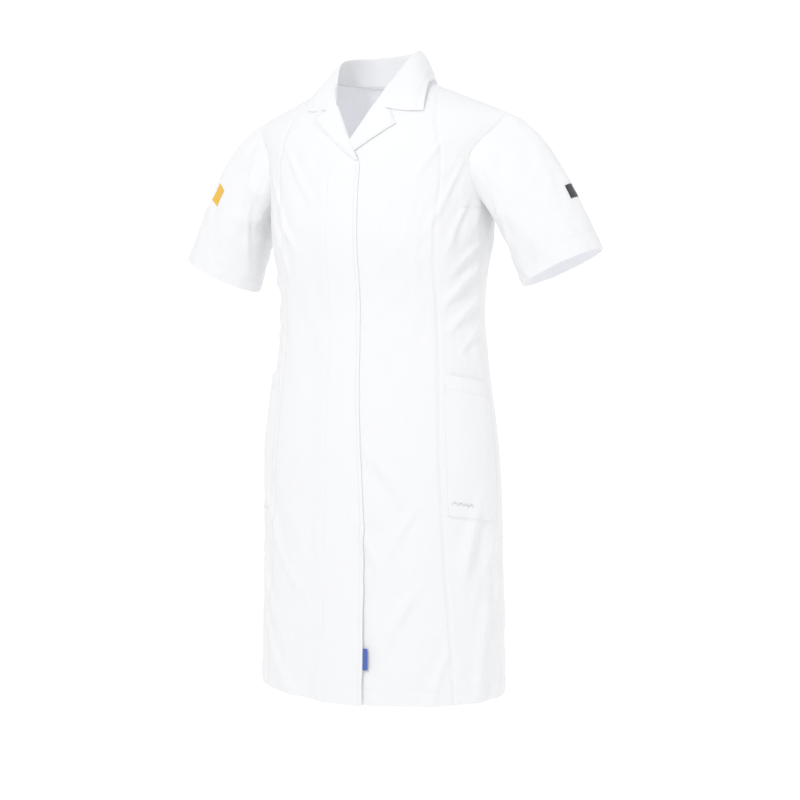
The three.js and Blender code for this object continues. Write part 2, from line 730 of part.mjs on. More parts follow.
// The flag label sewn into the right front's edge near the hem.
function edgeLabel() {
  const label = sheet(2, 2, (i, j, layer) => {
    const z = HEM_Z + 60 + 30 * (j / 2);
    const lift = FLY_LIFT - CLOTH - TRIM - 3 * LAYER_GAP;
    return onChest(-(OVERLAP - 16) - 14 + 14 * (i / 2) + 26, z, lift - layer * TRIM);
  });
  add("edge_label", label, "blue");
}

backPanels();
sideFronts();
chestPanels();
frontPanels();
hemBands();
pockets();
lapels();
collar();
neckFacing();
neckLabels();
hangerLoop();
sleeves();
pressStuds();
edgeLabel();

export default object;
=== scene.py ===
import math

import bpy
import numpy as np
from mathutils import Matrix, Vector


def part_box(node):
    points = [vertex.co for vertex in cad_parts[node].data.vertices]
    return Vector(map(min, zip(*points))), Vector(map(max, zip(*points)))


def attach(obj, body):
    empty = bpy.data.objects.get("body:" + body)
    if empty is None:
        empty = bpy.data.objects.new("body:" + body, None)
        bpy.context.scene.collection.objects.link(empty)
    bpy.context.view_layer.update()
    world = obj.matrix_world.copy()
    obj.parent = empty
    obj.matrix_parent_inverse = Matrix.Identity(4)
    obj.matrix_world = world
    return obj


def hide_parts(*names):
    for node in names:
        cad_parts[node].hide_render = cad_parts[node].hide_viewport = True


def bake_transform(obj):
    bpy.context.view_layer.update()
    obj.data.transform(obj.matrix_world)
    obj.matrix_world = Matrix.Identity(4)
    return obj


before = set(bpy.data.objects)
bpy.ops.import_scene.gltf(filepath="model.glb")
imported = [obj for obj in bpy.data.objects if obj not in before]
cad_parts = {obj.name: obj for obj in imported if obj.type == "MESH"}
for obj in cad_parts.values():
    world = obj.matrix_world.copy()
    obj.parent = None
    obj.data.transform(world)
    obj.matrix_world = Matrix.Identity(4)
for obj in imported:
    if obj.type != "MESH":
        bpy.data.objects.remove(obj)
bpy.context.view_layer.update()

MM = 0.001

# ---------------------------------------------------------------- sizes from the frame
HEM_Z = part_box("back_side_panel_left")[0].z / MM
SHOULDER_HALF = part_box("side_front_panel_left")[1].x / MM
NECK_HALF = 72.0
SLOPE = math.tan(math.radians(22))
SHOULDER_Z = -(SHOULDER_HALF - NECK_HALF) * SLOPE
SHOULDER_ROUND = 110.0
UNDERARM_Z = -205.0
CHEST_Z = -125.0
WAIST_Z = -370.0
NECK_BACK = 70.0
NECK_FRONT = 60.0
ARMHOLE_TOP = math.radians(74)
ARMHOLE_NARROW = math.radians(60)

# height, half width, depth in front, depth behind
GIRTH = np.array([
    (HEM_Z, 207, 147, 147),
    (-600, 197, 138, 140),
    (WAIST_Z, 171, 121, 112),
    (-240, 186, 134, 117),
    (CHEST_Z, 196, 120, 115),
    (-58, 222, 105, 105),
    (20, 224, 95, 97),
], float)

# front opening
OVERLAP = 20.0
V_Z = -102.0
GORGE_X = 31.0
GORGE_Z = -47.0
BREAK_Z = V_Z - OVERLAP * (GORGE_Z - V_Z) / GORGE_X
FLY_LIFT = 4.8
EDGE_LEAN = 15.0  # the right front laps further over towards the hem
LEAN_START = -430.0
EDGE_TUCK = 2.0  # the front edge lies closer in than the studs behind the fly
FLY_WIDTH = 51.0
FACING_WIDTH = 62.0

# lapel and collar
NOTCH = {"left": (58.0, -57.5), "right": (48.0, -52.0)}
LAPEL_TIP = {"left": (70.0, -79.0), "right": (73.0, -65.0)}
TIP_ALONG = {"left": 0.72, "right": 0.78}
COLLAR_LIFT = 2.6

# pockets
POCKET_TOP = -457.0
POCKET_DEPTH = 218.0
POCKET_SLANT = 19.0
POCKET_BAND = 22.0
POCKET_INSET = 5.0
POCKET_WIDTH = 78.0

# sleeves
SLEEVE_LENGTH = 258.0
SLEEVE_DROP = {"left": math.radians(54.5), "right": math.radians(57.5)}
SLEEVE_HEM_HALF = 67.0
SLEEVE_HEM_DEPTH = 54.0
SLEEVE_HEM_TILT = math.radians(25)
HEM_BAND = 24.0
SLEEVE_RUN = 220.0  # along the cloth, from the armhole to the hem
SLEEVE_RADIUS = 62.0
STUDS = 6

CLOTH = 0.9  # thickness of one layer, with its seam allowance
LINING = 0.5  # thickness of a turned-up or facing layer
LINING_GAP = 0.45  # how far such a layer lies behind the outer one
SEAM_STITCH = 6.0  # distance of the topstitching from a princess seam
EDGE_STITCH = 5.0  # distance of the topstitching from a free edge


# ---------------------------------------------------------------- small maths

def smooth(t):
    t = np.clip(t, 0.0, 1.0)
    return t * t * (3 - 2 * t)


def lerp(a, b, t):
    return a + (b - a) * t


def through(rows, column, z):
    """A smooth value through rows sorted by their first entry."""
    rows = np.asarray(rows, float)
    x, y = rows[:, 0], rows[:, column]
    slope = np.gradient(y, x, edge_order=1)
    slope[1:-1] = (y[2:] - y[:-2]) / (x[2:] - x[:-2])
    z = np.clip(z, x[0], x[-1])
    i = np.clip(np.searchsorted(x, z, side="right") - 1, 0, len(x) - 2)
    h = x[i + 1] - x[i]
    t = (z - x[i]) / h
    t2, t3 = t * t, t * t * t
    return (
        (2 * t3 - 3 * t2 + 1) * y[i]
        + (t3 - 2 * t2 + t) * h * slope[i]
        + (3 * t2 - 2 * t3) * y[i + 1]
        + (t3 - t2) * h * slope[i + 1]
    )


def grid(columns, rows):
    return np.meshgrid(columns, rows, indexing="ij")


def unit(v):
    return v / np.maximum(np.linalg.norm(v, axis=-1, keepdims=True), 1e-9)


# ---------------------------------------------------------------- the body's surface

def half_width(z):
    return through(GIRTH, 1, z)


def shoulder_z(x):
    return -np.maximum(np.abs(x) - NECK_HALF, 0) * SLOPE


def body(phi, z):
    """phi is 0 at the front, +90 degrees at the wearer's left, 180 degrees behind."""
    x = half_width(z) * np.sin(phi)
    front = np.cos(phi) >= 0
    deep = np.where(front, through(GIRTH, 2, z), through(GIRTH, 3, z)) * np.abs(np.cos(phi))
    in_neck = np.sqrt(np.maximum(1 - (x / NECK_HALF) ** 2, 0))
    ridge = np.minimum(np.where(front, NECK_FRONT, NECK_BACK) * in_neck, deep)
    s = np.clip((shoulder_z(x) - z) / SHOULDER_ROUND, 0, 1)
    y = ridge + (deep - ridge) * np.sqrt(np.maximum(1 - (1 - s) ** 2, 0))
    return np.stack([x, np.where(front, -y, y), z + 0 * x], -1)


def wrap(angle):
    return (angle + math.pi) % (2 * math.pi) - math.pi


# Soft folds: (degrees round the body, height) of both ends, half width, height and bow in mm.
FOLDS = [
    # wearer's right bust and armhole
    ((-60, -112), (-24, -300), 8, 3.4, 8),
    ((-66, -150), (-38, -330), 9, 3.2, -6),
    ((-42, -84), (-14, -215), 8, 2.4, 6),
    ((-56, -190), (-30, -262), 6, 2.2, 4),
    ((-70, -232), (-44, -300), 7, 2.6, 4),
    # wearer's left bust
    ((60, -120), (36, -262), 8, 2.4, -6),
    ((70, -170), (50, -300), 8, 2.6, 6),
    ((48, -92), (30, -180), 8, 1.8, 4),
    # waist, wearer's left side
    ((88, -285), (47, -372), 9, 4.8, 8),
    ((90, -335), (50, -408), 8, 4.2, 6),
    ((84, -250), (54, -318), 7, 3.2, 6),
    ((86, -385), (60, -436), 7, 2.8, 4),
    # waist, wearer's right side
    ((-88, -325), (-48, -392), 9, 3.4, 8),
    ((-84, -286), (-44, -340), 8, 2.8, 6),
    ((-80, -372), (-40, -430), 8, 2.6, 5),
    # skirt, wearer's right
    ((-64, -600), (-30, -760), 12, 3.4, 10),
    ((-70, -700), (-34, -880), 13, 4.0, 12),
    ((-50, -690), (-14, -820), 10, 2.6, 8),
    ((-60, -820), (-30, -955), 12, 3.2, 8),
    ((-78, -560), (-82, -960), 20, 3.0, 0),
    # skirt, wearer's left
    ((6, -560), (34, -690), 10, 3.2, -8),
    ((2, -660), (20, -800), 10, 3.0, -8),
    ((38, -640), (18, -760), 9, 2.4, 6),
    ((40, -760), (16, -900), 11, 3.2, 8),
    ((74, -620), (56, -820), 14, 4.0, 8),
    ((80, -740), (66, -960), 14, 3.6, 4),
    ((52, -860), (40, -960), 9, 2.4, 3),
    # back
    ((150, -300), (172, -420), 12, 3.2, 8),
    ((-150, -310), (-168, -430), 12, 3.0, -8),
    ((158, -380), (184, -470), 12, 2.4, 6),
    ((132, -520), (126, -960), 24, 4.4, 0),
    ((-138, -520), (-130, -960), 24, 4.2, 0),
    ((178, -560), (183, -960), 28, 3.6, 6),
    ((112, -180), (140, -300), 10, 2.8, 6),
    ((-112, -180), (-140, -300), 10, 3.0, -6),
    ((160, -640), (140, -800), 12, 2.6, 6),
    ((-166, -700), (-144, -860), 12, 2.6, 6),
]

MAP_COLUMNS = 1080
MAP_ROWS = 540
MAP_TOP = 60.0
MAP_LOW = HEM_Z - 20.0
GIRTH_RADIUS = 190.0
FOLD_STRENGTH = 2.1
CREASE_SEED = 5


def crumple(columns, rows, step_across, step_down, spacing, lean, seed):
    """Ridges about one spacing apart that lean by an angle from upright, repeating across."""
    noise = np.random.default_rng(seed).standard_normal((columns, rows))
    across = np.fft.fftfreq(columns, step_across)[:, None]
    down = np.fft.fftfreq(rows, step_down)[None, :]
    near = np.exp(-(((np.hypot(across, down) * spacing - 1) / 0.45) ** 2))
    way = 0.12 + np.cos(np.arctan2(down, across) - lean) ** 6
    field = np.fft.ifft2(np.fft.fft2(noise) * near * way).real
    return field / field.std()


def creases(columns, rows, step_across, step_down, layers, seed):
    """Crumpled cloth: each layer is (spacing, lean, height in mm)."""
    total = np.zeros((columns, rows))
    for k, (spacing, lean, high) in enumerate(layers):
        field = crumple(columns, rows, step_across, step_down, spacing, lean, seed + k)
        total += high * (0.8 - np.sqrt(field ** 2 + 0.1))
    return total


def fold_profile(across, wide):
    crest = (1 + (across / wide) ** 2) ** -1.5
    hollow = 0.5 * np.exp(-((across / (2.4 * wide)) ** 2))
    return crest - hollow


def fold_height(phi, z):
    out = np.zeros(np.broadcast(phi, z).shape)
    for (a0, z0), (a1, z1), wide, high, bow in FOLDS:
        x = wrap(phi - math.radians(a0)) * GIRTH_RADIUS
        y = z - z0
        ex, ey = math.radians(a1 - a0) * GIRTH_RADIUS, z1 - z0
        length = math.hypot(ex, ey)
        along = (x * ex + y * ey) / length
        part = np.clip(along / length, 0, 1)
        across = (x * ey - y * ex) / length - bow * np.sin(part * math.pi)
        finish = smooth((length - along) / (0.45 * length)) if z1 > HEM_Z + 20 else 1.0
        begin = smooth(along / (0.4 * length))
        spread = wide * (0.8 + 0.5 * part)
        out = out + FOLD_STRENGTH * high * begin * finish * fold_profile(across, spread)
    return out


def busy(phi, z):
    """Cloth lies still over the shoulders and the fly, and moves most at the waist and the hem."""
    side = np.sin(phi) ** 2
    bust = np.exp(-(((z + 230) / 90) ** 2)) * (0.4 + 0.6 * side)
    waist = np.exp(-(((z - WAIST_Z) / 80) ** 2)) * (0.3 + 0.7 * side)
    skirt = smooth((-560 - z) / 300)
    fly = np.exp(-(((half_width(z) * np.sin(phi) + 6) / 26) ** 2)) * (np.cos(phi) > 0)
    return (0.34 + 0.5 * bust + 0.5 * waist + 0.62 * skirt) * (1 - 0.55 * fly)


def drape_map():
    phi = (np.arange(MAP_COLUMNS) / MAP_COLUMNS * 2 * math.pi)[:, None]
    z = np.linspace(MAP_LOW, MAP_TOP, MAP_ROWS)[None, :]
    step = 2 * math.pi * GIRTH_RADIUS / MAP_COLUMNS
    step_down = (MAP_TOP - MAP_LOW) / (MAP_ROWS - 1)
    layers = [
        (150, 0.5, 1.5), (120, -0.55, 1.2), (70, 0.25, 0.6), (44, -0.35, 0.34), (26, 0.1, 0.16),
    ]
    wrinkled = creases(MAP_COLUMNS, MAP_ROWS, step, step_down, layers, CREASE_SEED)
    return fold_height(phi, z) + wrinkled * busy(phi, z)


DRAPE = drape_map()


def read_map(cells, u, v):
    """A map's value between its points. It repeats across, and u and v count columns and rows."""
    i, j = np.floor(u).astype(int), np.floor(v).astype(int)
    fu, fv = u - i, v - j
    i0, i1 = i % len(cells), (i + 1) % len(cells)
    low = cells[i0, j] * (1 - fu) + cells[i1, j] * fu
    high = cells[i0, j + 1] * (1 - fu) + cells[i1, j + 1] * fu
    return low * (1 - fv) + high * fv


def drape(phi, z):
    """How far the hanging cloth stands off the smooth body, in mm."""
    u = (np.asarray(phi) % (2 * math.pi)) / (2 * math.pi) * MAP_COLUMNS + 0 * z
    v = np.clip((z - MAP_LOW) / (MAP_TOP - MAP_LOW), 0, 0.9999) * (MAP_ROWS - 1) + 0 * phi
    return read_map(DRAPE, u, v)


def surface(phi, z, out=0.0):
    """The hanging cloth's outer face, moved out by a distance along its own normal."""
    da, dz = 0.006, 1.2

    def folded(p, h):
        base = body(p, h)
        flat = np.stack([np.sin(p), -np.cos(p), 0 * p + 0 * h], -1)
        rise = np.clip((shoulder_z(base[..., 0]) - h) / 60, 0, 1)[..., None]
        return base + unit(flat) * (drape(p, h)[..., None] * rise)

    side = np.where(np.cos(phi) >= 0, 1.0, -1.0)
    low, high = phi - da, phi + da
    low = np.where(np.cos(low) * side < 0, phi, low)
    high = np.where(np.cos(high) * side < 0, phi, high)
    top = shoulder_z(half_width(z) * np.sin(phi)) - 0.02
    up = np.minimum(z + dz, np.maximum(top, z))
    normal = unit(np.cross(folded(high, z) - folded(low, z), folded(phi, up) - folded(phi, z - dz)))
    guess = np.stack([np.sin(phi), -np.cos(phi), 0 * phi + 0.4], -1)
    flip = np.sign(np.sum(normal * guess, -1, keepdims=True))
    return folded(phi, z) + normal * flip * np.asarray(out)[..., None]


def phi_of(x, z):
    return np.arcsin(np.clip(x / half_width(z), -1, 1))


def armhole_phi(z):
    u = np.clip((z - UNDERARM_Z) / (SHOULDER_Z - UNDERARM_Z), 0, 1)
    opening = (math.pi / 2 - ARMHOLE_NARROW) * (1 - np.sqrt(u)) ** 2
    return ARMHOLE_NARROW + opening + (ARMHOLE_TOP - ARMHOLE_NARROW) * smooth(2 * u - 1)


def seam_phi(shoulder, chest, waist, hem):
    rows = np.array([
        (HEM_Z, hem), (WAIST_Z, waist), ((WAIST_Z + CHEST_Z) / 2, lerp(waist, chest, 0.2)),
        (CHEST_Z, chest), (0, shoulder),
    ])
    return lambda z: phi_of(through(rows, 1, z), z)


front_seam = seam_phi(105, 138, 131, 165)
back_seam = seam_phi(118, 112, 92, 118)


def front_edge_x(z):
    lower = np.maximum((z - V_Z) * GORGE_X / (GORGE_Z - V_Z), -OVERLAP)
    upper = lerp(GORGE_X, NECK_HALF, np.clip((z - GORGE_Z) / -GORGE_Z, 0, 1))
    return np.where(z < GORGE_Z, lower, upper)


def front_edge(z):
    return phi_of(front_edge_x(z), z)


def right_edge(z):
    """The right front's edge, in its own mirrored angle."""
    return phi_of(front_edge_x(z) - EDGE_LEAN * smooth((LEAN_START - z) / 300), z)


EDGES = {"left": front_edge, "right": right_edge}


# ---------------------------------------------------------------- meshes

def new_object(name, verts, faces):
    """A smooth mesh object from corners in metres."""
    mesh = bpy.data.meshes.new(name)
    mesh.from_pydata(verts, [], faces)
    mesh.update()
    obj = bpy.data.objects.new(name, mesh)
    bpy.context.collection.objects.link(obj)
    for poly in mesh.polygons:
        poly.use_smooth = True
    return obj


def closed_tube(base, rings, sides):
    """The faces of a tube made of rings of corners, with both ends closed."""
    faces = []
    for k in range(rings - 1):
        for m in range(sides):
            a, b = base + k * sides + m, base + k * sides + (m + 1) % sides
            faces.append((a, b, b + sides, a + sides))
    end = base + (rings - 1) * sides
    faces.append(tuple(base + m for m in reversed(range(sides))))
    faces.append(tuple(end + m for m in range(sides)))
    return faces


def grid_mesh(name, points, thick=CLOTH, ring=False, facing=None):
    """A closed thin sheet whose outer face runs through a grid of points (columns, rows).
    facing gives outward directions; otherwise out is away from the body's or the tube's axis."""
    p = np.asarray(points, float)
    ni, nj = p.shape[:2]
    if ring:
        around = np.roll(p, -1, 0) - np.roll(p, 1, 0)
    else:
        around = np.gradient(p, axis=0)
    down = np.gradient(p, axis=1)
    normal = unit(np.cross(around, down))
    if facing is None:
        facing = p - p.mean(0) if ring else p * np.array([1.0, 1.0, 0.0])
    if np.sum(normal * facing) < 0:
        return grid_mesh(name, p[::-1], thick, ring, np.asarray(facing)[::-1])
    inner = p - normal * thick
    verts = np.concatenate([p.reshape(-1, 3), inner.reshape(-1, 3)]) * MM
    i = np.arange(ni if ring else ni - 1)
    j = np.arange(nj - 1)
    gi, gj = grid(i, j)
    nxt = (gi + 1) % ni

    def vid(a, b, layer):
        return layer * ni * nj + a * nj + b

    def quads(a, b, c, d):
        return np.stack([a.ravel(), b.ravel(), c.ravel(), d.ravel()], 1)

    outer_f = quads(vid(gi, gj, 0), vid(nxt, gj, 0), vid(nxt, gj + 1, 0), vid(gi, gj + 1, 0))
    inner_f = quads(vid(gi, gj, 1), vid(gi, gj + 1, 1), vid(nxt, gj + 1, 1), vid(nxt, gj, 1))
    faces = [outer_f, inner_f]
    en = (i + 1) % ni
    faces.append(quads(vid(i, 0, 1), vid(en, 0, 1), vid(en, 0, 0), vid(i, 0, 0)))
    last = nj - 1
    faces.append(quads(vid(i, last, 0), vid(en, last, 0), vid(en, last, 1), vid(i, last, 1)))
    if not ring:
        faces.append(quads(vid(0, j, 0), vid(0, j + 1, 0), vid(0, j + 1, 1), vid(0, j, 1)))
        e = ni - 1
        faces.append(quads(vid(e, j, 1), vid(e, j + 1, 1), vid(e, j + 1, 0), vid(e, j, 0)))
    faces = np.concatenate(faces)
    obj = new_object(name, verts.tolist(), faces.tolist())
    mesh = obj.data
    flat = flat_map(p)
    layer = mesh.uv_layers.new(name="cloth")
    loops = np.empty(len(mesh.loops), int)
    mesh.loops.foreach_get("vertex_index", loops)
    both = np.concatenate([flat.reshape(-1, 2), flat.reshape(-1, 2)]) * MM
    layer.data.foreach_set("uv", both[loops].ravel())
    mesh.validate()
    mesh.update()
    make_outward(obj, verts, faces)
    obj["inner_faces"] = [len(outer_f), len(outer_f) + len(inner_f)]
    mesh.set_sharp_from_angle(angle=math.radians(50))
    return obj


def flat_map(p):
    """Distances along the cloth, so that the weave keeps its scale."""
    ni, nj = p.shape[:2]
    across = np.linalg.norm(np.diff(p, axis=0), axis=2)
    u = np.concatenate([np.zeros((1, nj)), np.cumsum(across, 0)], 0)
    u = u - u[ni // 2:ni // 2 + 1]
    down = np.linalg.norm(np.diff(p, axis=1), axis=2)
    v = np.concatenate([np.zeros((ni, 1)), np.cumsum(down, 1)], 1)
    return np.stack([u, v], -1)


def make_outward(obj, verts, faces):
    a, b, c, d = (verts[faces[:, k]] for k in range(4))
    volume = np.sum(a * np.cross(b, c)) + np.sum(a * np.cross(c, d))
    if volume < 0:
        obj.data.flip_normals()


def mirror(points, sign):
    return points * np.array([sign, 1.0, 1.0])


def column_top(phi_at, count):
    """Where each column of a panel meets the shoulder seam."""
    low = np.full(count, 2 * SHOULDER_Z)
    high = np.zeros(count)
    for _ in range(40):
        middle = (low + high) / 2
        under = middle < shoulder_z(half_width(middle) * np.sin(phi_at(middle)))
        low = np.where(under, middle, low)
        high = np.where(under, high, middle)
    return low


def panel_grid(start, end, columns, rows, bottom=None, tops=None):
    """Angles and heights of a panel from the hem, or another bottom, to the shoulder seam."""
    p = np.linspace(0, 1, columns)

    def phi_at(z):
        return lerp(start(z), end(z), p)

    tops = column_top(phi_at, columns) if tops is None else np.full(columns, tops)
    bottom = HEM_Z if bottom is None else bottom
    q = np.linspace(0, 1, rows)
    q = 0.55 * q + 0.45 * np.sin(q * math.pi / 2)
    z = bottom + (tops[:, None] - bottom) * q[None, :]
    phi = np.stack([phi_at(z[:, k]) for k in range(rows)], 1)
    return phi, z


FLATTER = 0.92  # an arc of the flattened body against one of a circle


def from_edge(phi, z, edge):
    """Distance along the surface to an edge, in mm, counted positive away from it."""
    return np.abs(phi - edge) * half_width(z) * FLATTER


def seam_roll(distance, deep=1.1, wide=1.8):
    """The dip where a panel turns in at a seam."""
    return -deep * np.exp(-((distance / wide) ** 2))


def hem_puff(z, fold_z, band):
    """A stitched hem: the cloth dips at the stitching and is fuller below it."""
    from_stitch = np.abs(z - (fold_z + band))
    dip = -0.55 * np.exp(-((from_stitch / 2.2) ** 2))
    return dip + 0.5 * smooth((fold_z + band - z) / 4) * smooth((z - fold_z + 6) / 8)


# ---------------------------------------------------------------- materials

def new_material(name, base, rough):
    mat = bpy.data.materials.new(name)
    mat.use_nodes = True
    bsdf = mat.node_tree.nodes["Principled BSDF"]
    bsdf.inputs["Base Color"].default_value = (*base, 1)
    bsdf.inputs["Roughness"].default_value = rough
    return mat, mat.node_tree, bsdf


def node(tree, kind, **values):
    n = tree.nodes.new(kind)
    for key, value in values.items():
        if key in n.inputs.keys():
            n.inputs[key].default_value = value
        else:
            setattr(n, key, value)
    return n


def math_node(tree, operation, a, b=None):
    n = tree.nodes.new("ShaderNodeMath")
    n.operation = operation
    for k, value in enumerate((a, b)):
        if value is None:
            continue
        if isinstance(value, (int, float)):
            n.inputs[k].default_value = value
        else:
            tree.links.new(value, n.inputs[k])
    return n.outputs[0]


def noise(tree, place, scale, detail, **values):
    n = node(tree, "ShaderNodeTexNoise", Scale=scale, Detail=detail, **values)
    tree.links.new(place, n.inputs["Vector"])
    return n.outputs[0]


def mix_colours(tree, amount, first, second, target):
    mix = node(tree, "ShaderNodeMix", data_type="RGBA")
    tree.links.new(amount, mix.inputs[0])
    mix.inputs[6].default_value = (*first, 1)
    mix.inputs[7].default_value = (*second, 1)
    tree.links.new(mix.outputs[2], target)


def bump(tree, height, strength, distance, target):
    """Relief from a height, fed to a normal input. Gives back its own normal input."""
    n = node(tree, "ShaderNodeBump", Strength=strength, Distance=distance)
    tree.links.new(height, n.inputs["Height"])
    tree.links.new(n.outputs[0], target)
    return n.inputs["Normal"]


def threads(tree, uv, pitch, axis, sharp=1.0):
    """Rounded ridges across the cloth, one for each thread."""
    split = tree.nodes.new("ShaderNodeSeparateXYZ")
    tree.links.new(uv, split.inputs[0])
    turn = math_node(tree, "MULTIPLY", split.outputs[axis], 2 * math.pi / (pitch * MM))
    ridge = math_node(tree, "SINE", turn)
    ridge = math_node(tree, "MULTIPLY", ridge, 0.5)
    ridge = math_node(tree, "ADD", ridge, 0.5)
    return math_node(tree, "POWER", ridge, sharp)


YARN = 0.55  # mm between two threads of the weave
GRID = 5.0  # mm between two lines of the woven grid


def cloth_material(name, colour, shade, through=0.0):
    """White poplin: a plain weave, a fine woven grid, faint uneven colour and a soft sheen.
    through is the strength of a painted glow: an emission that stands in for the light that comes
    through the thin cloth from outside and lifts the shade inside."""
    mat, tree, bsdf = new_material(name, colour, 0.82)
    # Painted light: the emission makes the cloth glow by the amount given in through.
    bsdf.inputs["Emission Color"].default_value = (0.95, 0.95, 1.0, 1)
    bsdf.inputs["Emission Strength"].default_value = through
    bsdf.inputs["Specular IOR Level"].default_value = 0.25
    bsdf.inputs["Sheen Weight"].default_value = 0.12
    bsdf.inputs["Sheen Roughness"].default_value = 0.5
    uv = node(tree, "ShaderNodeUVMap", uv_map="cloth").outputs[0]
    place = node(tree, "ShaderNodeTexCoord").outputs["Object"]
    warp = threads(tree, uv, YARN, 0)
    weft = threads(tree, uv, YARN, 1)
    check = math_node(tree, "MULTIPLY", warp, weft)
    slub = noise(tree, place, 900.0, 2.0)
    lines = math_node(
        tree, "MAXIMUM", threads(tree, uv, GRID, 0, 60.0), threads(tree, uv, GRID, 1, 60.0)
    )
    cloud = noise(tree, place, 9.0, 3.0)
    amount = math_node(tree, "MULTIPLY", lines, 0.05)
    amount = math_node(tree, "ADD", amount, math_node(tree, "MULTIPLY", cloud, 0.05))
    mix_colours(tree, amount, colour, shade, bsdf.inputs["Base Color"])
    height = math_node(tree, "ADD", check, math_node(tree, "MULTIPLY", slub, 0.6))
    height = math_node(tree, "ADD", height, math_node(tree, "MULTIPLY", lines, 0.5))
    under = bump(tree, height, 0.45, 0.00012, bsdf.inputs["Normal"])
    crease = noise(tree, place, 38.0, 4.0, Roughness=0.55)
    bump(tree, crease, 0.35, 0.0009, under)
    return mat


def woven_material(name, colour, second, pitch=0.7):
    """A woven label or tape: fine ribs one way, with a slightly different second thread."""
    mat, tree, bsdf = new_material(name, colour, 0.55)
    bsdf.inputs["Sheen Weight"].default_value = 0.2
    uv = node(tree, "ShaderNodeUVMap", uv_map="cloth").outputs[0]
    ribs = threads(tree, uv, pitch, 1)
    weft = threads(tree, uv, pitch * 0.6, 0)
    both = math_node(tree, "MULTIPLY", ribs, weft)
    mix_colours(tree, both, colour, second, bsdf.inputs["Base Color"])
    bump(tree, both, 0.5, 0.00015, bsdf.inputs["Normal"])
    return mat


def thread_material(name, colour):
    mat, tree, bsdf = new_material(name, colour, 0.6)
    bsdf.inputs["Sheen Weight"].default_value = 0.2
    place = node(tree, "ShaderNodeTexCoord").outputs["Object"]
    twist = noise(tree, place, 2500.0, 1.0)
    bump(tree, twist, 0.4, 0.0001, bsdf.inputs["Normal"])
    return mat


def metal_material():
    mat, tree, bsdf = new_material("stud_metal", (0.62, 0.63, 0.65), 0.28)
    bsdf.inputs["Metallic"].default_value = 1.0
    place = node(tree, "ShaderNodeTexCoord").outputs["Object"]
    wear = noise(tree, place, 700.0, 3.0)
    spread = node(tree, "ShaderNodeMapRange")
    spread.inputs["To Min"].default_value = 0.2
    spread.inputs["To Max"].default_value = 0.42
    tree.links.new(wear, spread.inputs["Value"])
    tree.links.new(spread.outputs[0], bsdf.inputs["Roughness"])
    return mat


WHITE = cloth_material("white_cloth", (0.885, 0.89, 0.90), (0.76, 0.77, 0.82))
# The inside cloth is a lit copy of the white cloth: a faint painted glow brightens the inner faces and
# inner layers that lie in shade.
INSIDE_PAINTED_GLOW = cloth_material("inside_cloth_painted_glow", (0.88, 0.885, 0.90), (0.76, 0.77, 0.82), through=0.13)
BLACK = woven_material("black_label", (0.012, 0.012, 0.014), (0.03, 0.03, 0.034))
YELLOW = woven_material("yellow_label", (0.83, 0.47, 0.02), (0.9, 0.6, 0.05))
BLUE = woven_material("blue_label", (0.07, 0.12, 0.42), (0.12, 0.2, 0.6))
TAPE = woven_material("loop_tape", (0.62, 0.63, 0.66), (0.78, 0.79, 0.82))
THREAD = thread_material("white_thread", (0.80, 0.81, 0.84))
GREY_THREAD = thread_material("grey_thread", (0.42, 0.43, 0.46))
METAL = metal_material()


def finish_piece(obj, mat):
    obj.data.materials.clear()
    obj.data.materials.append(mat)
    # Inner faces of white pieces take the glowing inside cloth, painted light on their shaded side.
    if mat == WHITE and "inner_faces" in obj:
        obj.data.materials.append(INSIDE_PAINTED_GLOW)
        start, end = obj["inner_faces"]
        for k in range(start, end):
            obj.data.polygons[k].material_index = 1
    return obj


# ---------------------------------------------------------------- baking pieces into place

SIDES = (("left", 1.0), ("right", -1.0))
FOLD_HOLD = {"left": 42.0, "right": 0.0}  # how far across from the V the fold line's start is moved, in mm; further on the under front


def follow_front(obj, word, sign):
    """Works out a fold line from the V of the neck to the foot of the princess seam, then bakes the
    piece's transform into its mesh.
    """
    seam_foot = float(half_width(HEM_Z) * np.sin(front_seam(HEM_Z)))
    line = np.array([seam_foot - 4.0, HEM_Z - (V_Z + 8)])
    line = line / np.linalg.norm(line)
    away = np.array([line[1], -line[0]])
    start = Vector((sign * 4.0, 0, V_Z + 8)) * MM
    across = Vector((sign * away[0], 0, away[1])) * MM
    start = start + across * FOLD_HOLD[word]
    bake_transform(obj)


def follow_sleeve(obj):
    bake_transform(obj)


# ---------------------------------------------------------------- stitching

def stitches(name, points, normals, pitch=3.2, fill=0.72, radius=0.3, lift=0.1):
    """A row of sewn stitches along a line that lies on the cloth."""
    p = np.asarray(points, float)
    n = unit(np.asarray(normals, float))
    lengths = np.linalg.norm(np.diff(p, axis=0), axis=1)
    total = np.concatenate([[0], np.cumsum(lengths)])
    count = max(int(total[-1] / pitch), 1)
    starts = (np.arange(count) + 0.5 * (1 - fill)) * total[-1] / count
    length = fill * total[-1] / count
    verts, faces = [], []
    sections = (
        (0.0, 0.25, -0.25), (0.18, 0.9, 0.35), (0.5, 1.0, 0.6), (0.82, 0.9, 0.35), (1.0, 0.25, -0.25),
    )
    sides = 5
    for s in starts:
        at = s + np.array([k[0] for k in sections]) * length
        centre = np.stack([np.interp(at, total, p[:, c]) for c in range(3)], -1)
        up = unit(np.stack([np.interp(at, total, n[:, c]) for c in range(3)], -1))
        along = unit(np.gradient(centre, axis=0))
        across = unit(np.cross(up, along))
        base = len(verts)
        for k, (_, size, rise) in enumerate(sections):
            for m in range(sides):
                a = 2 * math.pi * m / sides
                ring = across[k] * math.cos(a) + up[k] * math.sin(a)
                verts.append(centre[k] + up[k] * (lift + rise * radius) + ring * radius * size)
        faces += closed_tube(base, len(sections), sides)
    obj = new_object(name, (np.array(verts) * MM).tolist(), faces)
    return finish_piece(obj, THREAD)


